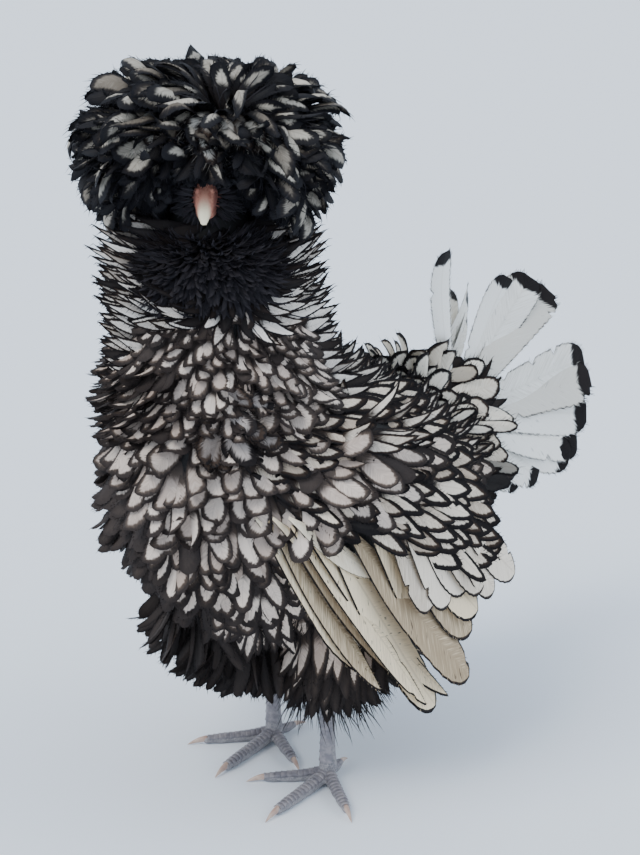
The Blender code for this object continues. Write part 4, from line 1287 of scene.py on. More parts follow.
@dataclass
class Leg:
    """One leg: where its shank meets the foot and where its middle toe heads."""

    side: Side
    foot: Array
    heading: float

    def thigh_centre(self, z: Array) -> Array:
        """The thigh's middle at heights z."""
        rise = (np.asarray(z) - SHANK_TOP_Z) / (LEG_TOP_Z - SHANK_TOP_Z)
        x, y = self.foot[0] * (1 + 0.10 * rise), self.foot[1] * (1 - rise) + 0.006 * rise
        return cols(x, y, np.asarray(z, float))

    def toe_line(self, toe: str, along: Array) -> tuple[Array, Array]:
        """Points on a toe's centreline, metres from the shank, and its direction."""
        turn, _, share = TOES[toe]
        angle = self.heading + self.side.value * math.radians(-turn)
        way = np.array((math.sin(angle), -math.cos(angle), 0.0))
        along = np.asarray(along, float)
        lift = TOE_LIFT * share + 0.0040 * np.exp(-along / 0.008)
        return self.foot + way * along[:, None] + UP * lift[:, None], way

    def flesh(self) -> list[Obj]:
        """Closed solids of the thigh's lower end, the shank and the toes."""
        levels, girth = np.array(SHANK_STATIONS).T
        centres = cols(self.foot[0], self.foot[1], levels)
        centres[:3, :2] = self.thigh_centre(levels[:3])[:, :2]
        sizes = cols(girth * 0.92, girth * 1.08)
        parts = [loft("shank", tube(centres, sizes, EAST, NORTH, 20))]
        for toe, (_, length, share) in TOES.items():
            place = np.linspace(0, 1, 15)
            pads = 1 + 0.07 * np.cos(place * length / 0.0115 * 2 * math.pi)
            radius = TOE_RADIUS * share * pads * np.interp(place, (0, 0.75, 1), (1.12, 0.88, 0.66))
            centres, way = self.toe_line(toe, place * length)
            side = np.cross(way, UP)
            sizes = cols(radius * 0.96, radius * 0.94)
            end = centres[-1] + way * radius[-1] * 0.8
            parts.append(loft("toe", tube(centres, sizes, side, UP, 14), None, end))
        return parts


LEGS = (
    Leg(Side.LEFT, np.array((0.034, -0.014, 0.0)), math.radians(6)),
    Leg(Side.RIGHT, np.array((-0.031, 0.008, 0.0)), math.radians(8)),
)


@dataclass
class Skin:
    """The one closed skin of trunk, neck, head, wing arms, tail stump and legs."""

    inset: float = 0.0015
    body_voxel: float = 0.0026
    head_voxel: float = 0.0010
    leg_voxel: float = 0.0010

    def trunk(self) -> Obj:
        """Trunk, neck, crest and beard cores, wing arms, thighs and tail stump in one surface."""
        inset = self.inset
        front = np.array((0, TORSO_FRONT[0] + inset, TORSO_FRONT[1]))
        rear = np.array((0, TORSO_REAR[0] - inset, TORSO_REAR[1]))
        parts = [loft("torso", torso_rings(-inset, 24, 40), front, rear)]
        turn = turns(36)
        levels = np.linspace(0.256, 0.368, 14)
        rings = np.stack([neck_ring(np.full(36, z), turn) for z in levels])
        middles = rings.mean(1, keepdims=True)
        parts.append(loft("neck", middles + (rings - middles) * 0.97))
        crown = head_ellipsoid("crown", CREST_CORE, -inset)
        hollow = head_ellipsoid("hollow", FACE_HOLLOW)
        parts += [combine(crown, [hollow], Cut.TAKE), head_ellipsoid("throat", BEARD_CORE, -inset)]
        for side in Side:
            rows = np.array(ARM_STATIONS[1:])
            rows[0, 2:] *= 0.5
            x = side.value * flank_x(rows[:, 0], rows[:, 1])
            centres = cols(x, rows[:, 0], rows[:, 1])
            parts.append(loft("arm", tube(centres, rows[:, [3, 2]] - inset, EAST, UP, 20)))
        for leg in LEGS:
            rows = np.array(THIGH_STATIONS)
            centres = leg.thigh_centre(rows[:, 0])
            sizes = rows[:, 1:] - inset
            parts.append(loft("thigh", tube(centres, sizes, EAST, NORTH, 24)))
        share = np.array((-0.6, -0.2, 0.3, 0.7))
        size = np.array((0.034, 0.032, 0.026, 0.014))
        centres = TAIL_ROOT + TAIL_ARM * share[:, None]
        parts.append(loft("stump", tube(centres, cols(size * 0.9, size), EAST, UP, 20)))
        return melt("trunk", parts, self.body_voxel, 6)

    def face(self) -> Obj:
        """Skull with brow, cheek, lids round each eye and the fleshy base of the bill."""
        parts = [head_ellipsoid("skull", SKULL, -0.0006)]
        lump = (HEAD_SIDE * 0.0064, HEAD_FORWARD * 0.0060, UP * 0.0080)
        parts.append(ellipsoid("muzzle", head_point(0, 0.0155, 0.3735), lump))
        for side in Side:
            place, forward, z = EYE_PLACE
            turn = turns(28)
            for reach, size, tall in ((0.0018, 0.0056, 0.90), (0.0032, 0.0050, 0.72)):
                ahead, rise = size * np.cos(turn), size * tall * np.sin(turn)
                ring = head_point(side.value * (place + reach), forward + ahead, z + rise)
                parts.append(self.hoop("lid", ring, 0.0011))
            cheek = (HEAD_SIDE * 0.0060, HEAD_FORWARD * 0.0085, UP * 0.0062)
            parts.append(ellipsoid("cheek", head_point(side.value * 0.0095, 0.0060, 0.3680), cheek))
        return melt("face", parts, self.head_voxel, 3)

    @staticmethod
    def hoop(name: str, line: Array, radius: float) -> Obj:
        """A closed ring of round section along a closed line."""
        way = unit(np.roll(line, -1, 0) - np.roll(line, 1, 0))
        outward = unit(line - line.mean(0))
        other = np.cross(way, outward)
        sizes = np.full((len(line), 2), radius)
        rings = tube(line, sizes, outward, other, 8)
        return outwards(place_mesh(name, rings.reshape(-1, 3), quads(*rings.shape[:2], (True, True))))

    def build(self) -> Obj:
        """The whole skin, flat where it stands on the floor."""
        trunk = self.trunk()
        limbs = [melt("leg", leg.flesh(), self.leg_voxel, 2) for leg in LEGS]
        skin = combine(trunk, [self.face(), *limbs], Cut.JOIN)
        skin.name = skin.data.name = "skin"
        places = np.empty(len(skin.data.vertices) * 3, np.float32)
        skin.data.vertices.foreach_get("co", places)
        places[2::3] = np.maximum(places[2::3], 0.0)
        skin.data.vertices.foreach_set("co", places)
        skin.data.update()
        shade(skin)
        return skin

    def finish(self) -> Material:
        """Dark skin under the coat, pink about the bill and eyes, and slate on the shanks and toes."""
        material, tree = Tree.material("skin_finish")
        place = tree.place()
        z = tree.parts(place)[2]
        patch = tree.noise(place, 220.0, 4.0)
        slate = tree.mix(tree.step(patch, 0.35, 0.7), (0.200, 0.195, 0.215), (0.330, 0.315, 0.330))
        inputs = {"Vector": place, "Scale": 620.0}
        pebble = tree.add("ShaderNodeTexVoronoi", inputs, feature="DISTANCE_TO_EDGE")
        seam = tree.step(pebble.outputs["Distance"], 0.0, 0.10)
        slate = tree.mix(seam, (0.40, 0.38, 0.38), slate)
        under = tree.mix(patch, (0.004, 0.004, 0.004), (0.010, 0.009, 0.009))
        pink = tree.mix(tree.step(patch, 0.3, 0.7), (0.34, 0.11, 0.09), (0.50, 0.21, 0.165))
        snout = head_point(0, 0.0200, 0.3740) - ORIGIN
        near = tree.vector("DISTANCE", place, tuple(snout)).outputs["Value"]
        colour = tree.mix(tree.step(near, 0.0094, 0.0066), under, pink)
        colour = tree.mix(tree.step(z, 0.078, 0.066), colour, slate)
        height = tree.mix(tree.step(z, 0.078, 0.066), patch, seam)
        inputs = {"Base Color": colour, "Roughness": 0.6, "Specular IOR Level": 0.3}
        tree.surface(inputs, (0.5, 0.3 * MM, height))
        return material


# ---------------------------------------------------------------- bill, eyes, claws and scutes


@dataclass
class Bill:
    """The bill's two halves; the upper one has nostrils under raised flaps."""

    voxel: float = 0.00045

    def half(self, name: str, profile: Table, roof: float, floor: float) -> Obj:
        """One half, with its own roundness above and below.

        Args:
            name: The object's name.
            profile: Forward, half width, top and bottom.
            roof: Power of the section's upper side; 1 is round and less is flatter.
            floor: The same for its lower side.

        Returns:
            The closed half.
        """
        rows = course(profile, 36)
        turn = turns(28)
        rise, wide = np.cos(turn), np.sin(turn)
        power = np.where(rise > 0, roof, floor)
        rise = np.sign(rise) * np.abs(rise) ** power
        wide = np.sign(wide) * np.abs(wide) ** 0.85
        forward, half, top, bottom = (rows[:, k, None] for k in range(4))
        z = 0.5 * (top + bottom) + 0.5 * (top - bottom) * rise
        rings = head_point(half * wide, np.broadcast_to(forward, z.shape), z)
        return loft(name, rings)

    def build(self) -> list[Obj]:
        """Both halves, smooth and closed."""
        parts = [self.half("upper", UPPER_BILL, 1.25, 0.45)]
        pits = []
        aside, forward, z = NOSTRIL
        for side in Side:
            flap = (HEAD_SIDE * 0.0024, HEAD_FORWARD * 0.0042, UP * 0.0027)
            parts.append(ellipsoid("flap", head_point(side.value * aside, forward, z), flap))
            pit = (HEAD_SIDE * 0.0016, HEAD_FORWARD * 0.0024, UP * 0.0009)
            hole = head_point(side.value * (aside + 0.0026), forward + 0.0008, z - 0.0004)
            pits.append(ellipsoid("pit", hole, pit))
        upper = combine(melt("upper_horn", parts, self.voxel, 3), pits, Cut.TAKE)
        lower = melt("lower_horn", [self.half("lower", LOWER_BILL, 0.45, 1.0)], self.voxel, 2)
        for piece in (upper, lower):
            shade(piece)
        return [upper, lower]

    def finish(self) -> Material:
        """Flesh pink at the base and sides, ivory along the ridge and at the tip."""
        material, tree = Tree.material("bill_finish")
        place = tree.place()
        local = tree.vector("SUBTRACT", place, tuple(HEAD_AXIS - ORIGIN)).outputs[0]
        forward, side = (
            tree.vector("DOT_PRODUCT", local, tuple(way)).outputs["Value"]
            for way in (HEAD_FORWARD, HEAD_SIDE)
        )
        z = tree.parts(place)[2]
        streak = tree.noise(tree.joined(tree.maths("MULTIPLY", forward, 0.25), side, z), 900.0, 3.0)
        wander = tree.maths("MULTIPLY_ADD", streak, 0.006, -0.003)
        far = tree.step(tree.maths("ADD", forward, wander), 0.0370, 0.0420)
        spread = tree.maths("MULTIPLY_ADD", forward, 0.42, -0.0108)
        ridge = tree.step(tree.maths("ABSOLUTE", side), spread, tree.maths("MULTIPLY", spread, 0.25))
        ivory = tree.maths("MAXIMUM", far, tree.maths("MULTIPLY", ridge, tree.step(forward, 0.0285, 0.0370)))
        pink = tree.mix(tree.step(streak, 0.35, 0.65), (0.58, 0.22, 0.16), (0.72, 0.34, 0.24))
        pink = tree.mix(tree.step(tree.maths("ABSOLUTE", side), 0.0038, 0.0058), pink, (0.26, 0.10, 0.08))
        warm = tree.mix(tree.step(streak, 0.3, 0.75), (0.90, 0.50, 0.36), (0.84, 0.41, 0.29))
        horn = tree.mix(tree.step(forward, 0.0340, 0.0412), warm, (1.0, 0.90, 0.63))
        colour = tree.mix(ivory, pink, horn)
        tree.surface({"Base Color": colour, "Roughness": 0.34}, (0.3, 0.2 * MM, streak))
        return material


@dataclass
class Eyes:
    """The two eyeballs, with the iris round a dark pupil."""

    rings: int = 40
    sides: int = 40

    def build(self, side: Side) -> Obj:
        """One eyeball, bulged at the cornea, that stores the angle from its axis."""
        centre = head_point(side.value * EYE_PLACE[0], *EYE_PLACE[1:])
        axis = unit(HEAD_SIDE * side.value + HEAD_FORWARD * 0.30 + UP * 0.04)
        first = unit(np.cross(axis, UP))
        second = np.cross(axis, first)
        polar = np.linspace(0, math.pi, self.rings + 2)[1:-1]
        size = EYE_RADIUS * (1 + 0.07 * np.exp(-((polar / 0.55) ** 2)))
        middles = centre + axis * (size * np.cos(polar))[:, None]
        girth = size * np.sin(polar)
        rings = tube(middles, cols(girth, girth), first, second, self.sides)
        front = centre + axis * EYE_RADIUS * 1.07
        ball = loft(f"eyeball_{side.label}", rings, front, centre - axis * EYE_RADIUS)
        store(ball, "gaze", np.concatenate([np.repeat(np.degrees(polar), self.sides), [0.0, 180.0]]))
        shade(ball)
        return ball

    def finish(self) -> Material:
        """Black pupil, bay iris with fine spokes, and a dark ring."""
        material, tree = Tree.material("eye_finish")
        place = tree.place()
        gaze = tree.stored("gaze").outputs["Fac"]
        spokes = tree.noise(place, 2200.0, 2.0)
        iris = tree.mix(tree.step(spokes, 0.35, 0.65), (0.34, 0.085, 0.020), (0.13, 0.030, 0.010))
        iris = tree.mix(tree.step(gaze, 26.0, 34.0), (0.40, 0.16, 0.04), iris)
        colour = tree.mix(tree.step(gaze, 23.0, 25.0), (0.003, 0.003, 0.003), iris)
        colour = tree.mix(tree.step(gaze, 50.0, 58.0), colour, (0.010, 0.007, 0.007))
        tree.surface({"Base Color": colour, "Roughness": 0.10, "Coat Weight": 1.0, "Coat Roughness": 0.03})
        return material


def claw(leg: Leg, toe: str) -> Obj:
    """One curved claw on the end of its toe."""
    _, length, share = TOES[toe]
    size = TOE_RADIUS * share * 0.58
    start, way = leg.toe_line(toe, np.array((length - 0.0015,)))
    place = np.linspace(0, 1, 12)[:-1]
    girth = np.interp(place, (0, 0.4, 0.75, 1), (1.0, 0.80, 0.44, 0.06))
    reach = CLAW_LENGTH + 0.0015
    centres = start + way * (reach * place)[:, None] + UP * (0.0008 - 0.0034 * place**2)[:, None]
    sizes = cols(size * 0.78 * girth, size * girth)
    tip = start[0] + way * reach + UP * (0.0008 - 0.0034)
    rings = tube(centres, sizes, np.cross(way, UP), UP, 16)
    piece = loft(f"claw_horn_{leg.side.label}_{toe}", rings, None, tip)
    shade(piece)
    return piece


def frames(x: Array, z: Array) -> Array:
    """Euler angles that turn X to x and Z to z, made square to it."""
    z = across(z, x)
    y = np.cross(z, x)
    return np.array([Matrix(cols(a, b, c).tolist()).to_euler() for a, b, c in zip(x, y, z)])


class Scatter:
    """Copies of one small shape on the points of a guide, by Geometry Nodes."""

    def __init__(self) -> None:
        """Builds the tree, with its shape and finish as named inputs."""
        self.tree = bpy.data.node_groups.new("Scatter", "GeometryNodeTree")
        self.socket("Guide", "Geometry")
        self.shape, self.material = self.socket("Shape", "Object"), self.socket("Finish", "Material")
        self.socket("Copies", "Geometry", "OUTPUT")
        tree = Tree(self.tree)
        given = tree.add("NodeGroupInput").outputs
        shape = tree.add("GeometryNodeObjectInfo", {"Object": given["Shape"]}).outputs["Geometry"]
        turn, size, place, patch = (
            tree.add("GeometryNodeInputNamedAttribute", {"Name": name}, data_type="FLOAT_VECTOR").outputs[0]
            for name in ("turn", "size", "place", "patch")
        )
        rotation = tree.add("FunctionNodeEulerToRotation", {0: turn}).outputs[0]
        inputs = {"Points": given["Guide"], "Instance": shape, "Rotation": rotation, "Scale": size}
        copies = tree.add("GeometryNodeInstanceOnPoints", inputs).outputs[0]
        real = tree.add("GeometryNodeRealizeInstances", {0: copies}).outputs[0]
        inputs = {"Geometry": real, "Name": "OFBake", "Value": tree.vector("ADD", place, patch).outputs[0]}
        mapped = tree.add("GeometryNodeStoreNamedAttribute", inputs, data_type="FLOAT2", domain="CORNER")
        inputs = {"Geometry": mapped.outputs[0], "Material": given["Finish"]}
        tree.add("NodeGroupOutput", {0: tree.add("GeometryNodeSetMaterial", inputs).outputs[0]})

    def socket(self, name: str, kind: str, way: str = "INPUT") -> str:
        """Adds a socket to the tree and gives its identifier."""
        made = self.tree.interface.new_socket(name, in_out=way, socket_type=f"NodeSocket{kind}")
        return made.identifier

    def build(self, name: str, shape: Obj, finish: Material, rows: dict[str, Array]) -> Obj:
        """The copies as one plain mesh.

        Args:
            name: The piece's name.
            shape: The shape to copy, about its own origin.
            finish: Its material.
            rows: "here", and the vectors "turn", "size" and "place" of each copy.

        Returns:
            The piece.
        """
        guide = place_mesh(name, rows["here"], [])
        for label in ("turn", "size", "place"):
            store(guide, label, rows[label])
        modifier = guide.modifiers.new("scatter", "NODES")
        modifier.node_group = self.tree
        modifier[self.shape], modifier[self.material] = shape, finish
        settle(guide)
        shade(guide)
        return guide


def small_shape(name: str, points: Array, faces: list, patch: Array) -> Obj:
    """A shape for scattering, which keeps each point's place in its bake patch."""
    obj = place_mesh(name, points + ORIGIN, faces)
    store(obj, "patch", np.pad(patch * PATCH, ((0, 0), (0, 1))))
    return obj


@dataclass
class Scutes:
    """The broad shields down the front of the shanks and over the toes."""

    shank_step: float = 0.0056
    toe_step: float = 0.0036

    def plate(self) -> Obj:
        """A closed shield one unit long and half a turn wide, bent round X, with its free edge raised."""
        turned = np.radians(np.linspace(-66, 66, 7))
        rows = ((-0.50, 0.965), (-0.46, 1.02), (0.30, 1.07), (0.50, 1.13), (0.54, 1.10), (0.56, 0.97))
        reach = [(r, a) for _, r in rows for a in turned]
        section = [(r * math.sin(a), r * math.cos(a) - 0.03 * (a / 1.15) ** 2) for r, a in reach]
        points = np.column_stack([np.repeat([x for x, _ in rows], len(turned)), section])
        wide = len(turned)
        starts = range(0, wide * len(rows), wide)
        faces = quads(len(rows), wide, (True, False))
        faces += [tuple(starts), tuple(k + wide - 1 for k in reversed(starts))]
        return outwards(small_shape("plate", points, faces, points[:, :2] * 0.5))

    def rows(self, leg: Leg) -> dict[str, Array]:
        """Where the shields of one leg lie."""
        heading = np.array((math.sin(leg.heading), -math.cos(leg.heading), 0.0))
        found = []
        for z in np.arange(0.0170, 0.064, self.shank_step):
            girth = float(np.interp(z, *SHIELD_GIRTHS))
            size = (self.shank_step, girth, girth * 1.06)
            found.append((leg.foot + UP * z, -UP + heading * 0.02, heading, size))
        for toe, (_, length, share) in TOES.items():
            places = np.arange(0.006, length - 0.001, self.toe_step)
            centres, way = leg.toe_line(toe, places)
            slope = np.gradient(centres[:, 2]) / np.gradient(places)
            radius = TOE_RADIUS * share * np.interp(places / length, (0, 0.75, 1), (1.12, 0.90, 0.70))
            for centre, fall, girth in zip(centres, slope, radius):
                found.append((centre, way + UP * fall, UP, (self.toe_step, girth, girth)))
        here, along, out, size = (np.array(column) for column in zip(*found))
        tens, ones = np.divmod(np.arange(len(here)), 10)
        place = cols(0.05 + 0.9 * ones / 10, 0.05 + 0.9 * tens / 10, 0)
        return {"here": here, "turn": frames(unit(along), out), "size": size, "place": place}


# ---------------------------------------------------------------- tracts of feathers


def golden(count: int) -> Array:
    """Evenly spread directions over a sphere, as unit vectors."""
    k = np.arange(count)
    height = 1 - 2 * (k + 0.5) / count
    flat = np.sqrt(1 - height * height)
    turn = math.pi * (3 - math.sqrt(5)) * k
    return cols(flat * np.sin(turn), height, flat * np.cos(turn))


@dataclass
class Ground:
    """The skin as a ground to root feathers on."""

    skin: Obj
    tree: BVHTree = field(init=False)

    def __post_init__(self) -> None:
        """Builds the search tree of the skin."""
        made = bmesh.new()
        made.from_mesh(self.skin.data)
        self.tree = BVHTree.FromBMesh(made)
        made.free()

    def meet(self, starts: Array, ways: Array) -> tuple[Array, Array, Array]:
        """Where rays meet the skin.

        Args:
            starts: Points that the rays start from, in the bird's frame.
            ways: Directions of the rays.

        Returns:
            Whether each ray met it, then the places and outward normals.
        """
        hit = np.zeros(len(starts), bool)
        places, normals = np.zeros_like(starts), np.zeros_like(starts)
        for k, (start, way) in enumerate(zip(starts - ORIGIN, ways)):
            place, normal, _, _ = self.tree.ray_cast(Vector(start), Vector(way))
            if place is not None:
                hit[k] = True
                places[k], normals[k] = place, normal
        return hit, places + ORIGIN, normals


def drawn(draw: Draw, count: int, low: float, high: float) -> Array:
    """Seeded numbers between low and high."""
    return draw.uniform(low, high, count)


def curls(draw: Draw, count: int, degrees: tuple[float, ...], spread: float) -> Array:
    """Angles of each feather along its shaft, all turned a little more or less."""
    share = draw.uniform(1 - spread, 1 + spread, (count, 1))
    return np.radians(degrees) * share + draw.normal(0, 0.06, (count, len(degrees)))


def round_place(turn: Array) -> Array:
    """Where a turn lies across the bake map."""
    return 0.02 + 0.96 * (turn / (2 * math.pi) % 1)


def thigh_sizes(z: Array) -> Array:
    """The thigh's half width and half depth at heights z."""
    levels, *sizes = np.array(THIGH_STATIONS[::-1]).T
    return np.array([np.interp(z, levels, size) for size in sizes])


# Lower edge of the long feathers under the belly: places to the side and heights.
HEM = ((-0.091, -0.081, -0.072, -0.058, -0.040, -0.020), (0.150, 0.114, 0.097, 0.081, 0.066, 0.054))


@dataclass
class TorsoCoat:
    """Feathers of the trunk: laced scales on the breast, narrow ones on the back and belly."""

    ground: Ground
    scales: int = 1850
    lances: int = 3200
    hangers: int = 6400
    opened: int = 11
    seed: int = 3

    def lie(self, here: Array, out: Array) -> Array:
        """Back along the top, more steeply down on the breast and belly, and spread from the breast."""
        breast = np.clip((0.01 - here[:, 1]) / 0.12, 0, 1)
        low = np.clip((0.27 - here[:, 2]) / 0.14, 0, 1)
        flow = falling(np.radians(4 + 44 * low + 74 * breast * (1 - 0.45 * low)))
        spread = np.tanh(((here - HEAD_AXIS) @ HEAD_SIDE - 0.01) / 0.05) * 0.12 * breast
        return across(flow + HEAD_SIDE * spread[:, None], out)

    def roots(self, draw: Draw, count: int) -> tuple[Array, Array, Array]:
        """Roots, outward normals and directions, clear of the neck, the head and the wings' coverts."""
        ways = golden(count) * EGG_AXES
        ways += draw.normal(0, 0.0012, ways.shape)
        hit, here, out = self.ground.meet(EGG_CENTRE + ways * 3, -unit(ways))
        x, y, z = here.T
        neck = (np.hypot(x, y + 0.064) < 0.050) & (z > 0.262)
        high = z > np.interp(y, (-0.10, 0.02), (0.290, 0.300))
        small = tuple(((a - 0.006) * 0.58 + 0.006, (b - 0.19) * 0.50 + 0.18) for a, b in WING_OUTLINE)
        wing = (np.abs(x) > 0.05) & inside(small, y, z)
        keep = hit & ~neck & ~high & ~wing & (z > 0.085)
        return here[keep], out[keep], ways[keep]

    def tract(self, count: int) -> Tract:
        """Places and sizes of the trunk's feathers, for a weave of count roots all round."""
        draw = default_rng(self.seed)
        here, out, ways = self.roots(draw, count)
        count = len(here)
        x, y, z = here.T
        lie = self.lie(here, out)
        lie = across(lie + np.cross(lie, out) * draw.normal(0, 0.20, (count, 1)), out)
        low, back = ease(0.17, 0.115, z), self.back(here, out)
        chest = ease(0.195, 0.25, z) * ease(-0.04, -0.09, y)
        right = here @ HEAD_SIDE
        far = ease(0.02, -0.02, x + 0.3 * (y + 0.1))
        tuck = far * ease(0.205, 0.165, z) * ease(0.06, 0.0, y)
        under = (np.abs(x) > 0.045) & inside(FLIGHT_OUTLINE, y, z)
        # Mask of the far side's lower breast and flank: its feathers are made narrower and dark all over
        # there, as painted shade.
        far_side_shade = ease(0.012, -0.006, z - 0.214 + 1.65 * (right + 0.087)) * ease(0.06, 0.0, y)
        far_side_shade = far_side_shade * ease(-0.012, -0.026, right)
        long = 1 + 0.12 * low + 0.12 * back - 0.22 * tuck - 0.13 * chest
        wide = 1 - 0.34 * low - 0.42 * back + 0.06 * chest - 0.25 * far_side_shade
        length = 0.0330 * drawn(draw, count, 0.82, 1.14) * long
        width = 0.0146 * drawn(draw, count, 0.78, 1.14) * wide
        curl = curls(draw, count, (12, 16, 27, 56), 0.30) * (1 - 0.45 * low - 0.3 * tuck)[:, None]
        curl = curl * np.where(under, 0.2, 1.0)[:, None]
        turn = np.arctan2(ways[:, 0] / EGG_AXES[0], ways[:, 2] / EGG_AXES[2])
        places = cols(0.02 + 0.96 * (turn / (2 * math.pi) + 0.5), 0.5 + 0.47 * unit(ways)[:, 1])
        # Chance that a feather is dark all over. It rises low on the belly and at the rear; its rise on the
        # far side, higher up the belly there and across the far flank, is painted shade.
        dark = 0.03 + 0.80 * ease(0.135, 0.110, z - 0.045 * far) + 0.9 * ease(0.100, 0.118, y)
        dark = dark + 0.75 * ease(-0.086, -0.100, right) + 0.92 * far_side_shade
        up = np.sign((np.cross(lie, out) * UP).sum(1)) * back
        bends = draw.normal(0, 0.08, count) + up * drawn(draw, count, 0.10, 0.38)
        rolls = draw.normal(0, 0.28, count)
        pales = (1 - 0.99 * (draw.random(count) < dark)) * (1 - 0.24 * chest * draw.random(count))
        return Tract(here, lie, out, length, width, curl, places, bends, rolls, pales, draw.random(count))

    def hanging(self) -> Tract:
        """Long dark feathers that hang below the far side of the belly."""
        draw = default_rng(self.seed + 2)
        here, _, ways = self.roots(draw, self.hangers)
        right = here @ HEAD_SIDE
        fall = here[:, 2] - np.interp(right, *HEM)
        keep = (right < -0.018) & (here[:, 1] < 0.03) & (here[:, 2] < 0.150) & (fall > 0.012) & (fall < 0.056)
        here, ways, fall = here[keep], ways[keep], fall[keep]
        count = len(here)
        flat = unit(ways * (1.0, 1.0, 0.0))
        lie = unit(flat * draw.uniform(-0.05, 0.34, (count, 1)) - UP + draw.normal(0, 0.20, (count, 3)))
        length = np.clip(fall * drawn(draw, count, 0.55, 1.10), 0.014, 0.042)
        width = 0.0072 * drawn(draw, count, 0.65, 1.25)
        curl = curls(draw, count, (6, 10, 18, 36), 0.4)
        places = cols(0.02 + 0.96 * draw.random(count), 0.985)
        bends, rolls = draw.normal(0, 0.22, count), draw.normal(0, 0.60, count)
        pales, tones = draw.random(count) ** 3, draw.random(count)
        here = here - flat * 0.002
        return Tract(here, lie, across(flat, lie), length, width, curl, places, bends, rolls, pales, tones)

    def parting(self) -> Tract:
        """A few feathers at the breast's parting, thrown open so that their pale fluffy bases show."""
        draw = default_rng(self.seed + 1)
        count = self.opened
        place = np.array((0.034, -0.106, 0.263)) + draw.normal(0, 1, (count, 3)) * 0.006
        _, here, out = self.ground.meet(EGG_CENTRE + (place - EGG_CENTRE) * 3, -unit(place - EGG_CENTRE))
        turn = draw.normal(0.45, 0.80, (count, 1))
        down, aside = (across(np.broadcast_to(way, out.shape), out) for way in (-UP, HEAD_SIDE))
        return Tract(
            here + out * 0.003, unit(down * np.cos(turn) + aside * np.sin(turn)), out,
            drawn(draw, count, 0.026, 0.034), drawn(draw, count, 0.0110, 0.0145),
            curls(draw, count, (18, 18, 18, 26), 0.3),
            cols(0.97, np.linspace(0.02, 0.9, count)),
            rolls=draw.normal(0, 0.4, count),
            tones=draw.random(count),
        )

    @staticmethod
    def back(here: Array, out: Array) -> Array:
        """How far a place belongs to the back and saddle."""
        return ease(0.20, 0.6, out[:, 2]) * ease(-0.08, -0.03, here[:, 1])

    def parts(self) -> dict[str, Tract]:
        """The feathers of the trunk by their place."""
        front, rear = self.tract(self.scales), self.tract(self.lances)
        _, y, z = front.roots.T
        saddle = self.back(front.roots, front.outs) > 0.35
        belly = ~saddle & (z < 0.145)
        chest = ~saddle & (z > 0.206) & (y < -0.03)
        return {
            "saddle": rear.keep(self.back(rear.roots, rear.outs) > 0.35),
            "belly": front.keep(belly),
            "hanging": self.hanging(),
            "parting": self.parting(),
            "chest": front.keep(chest),
            "breast": front.keep(~saddle & ~belly & ~chest),
        }


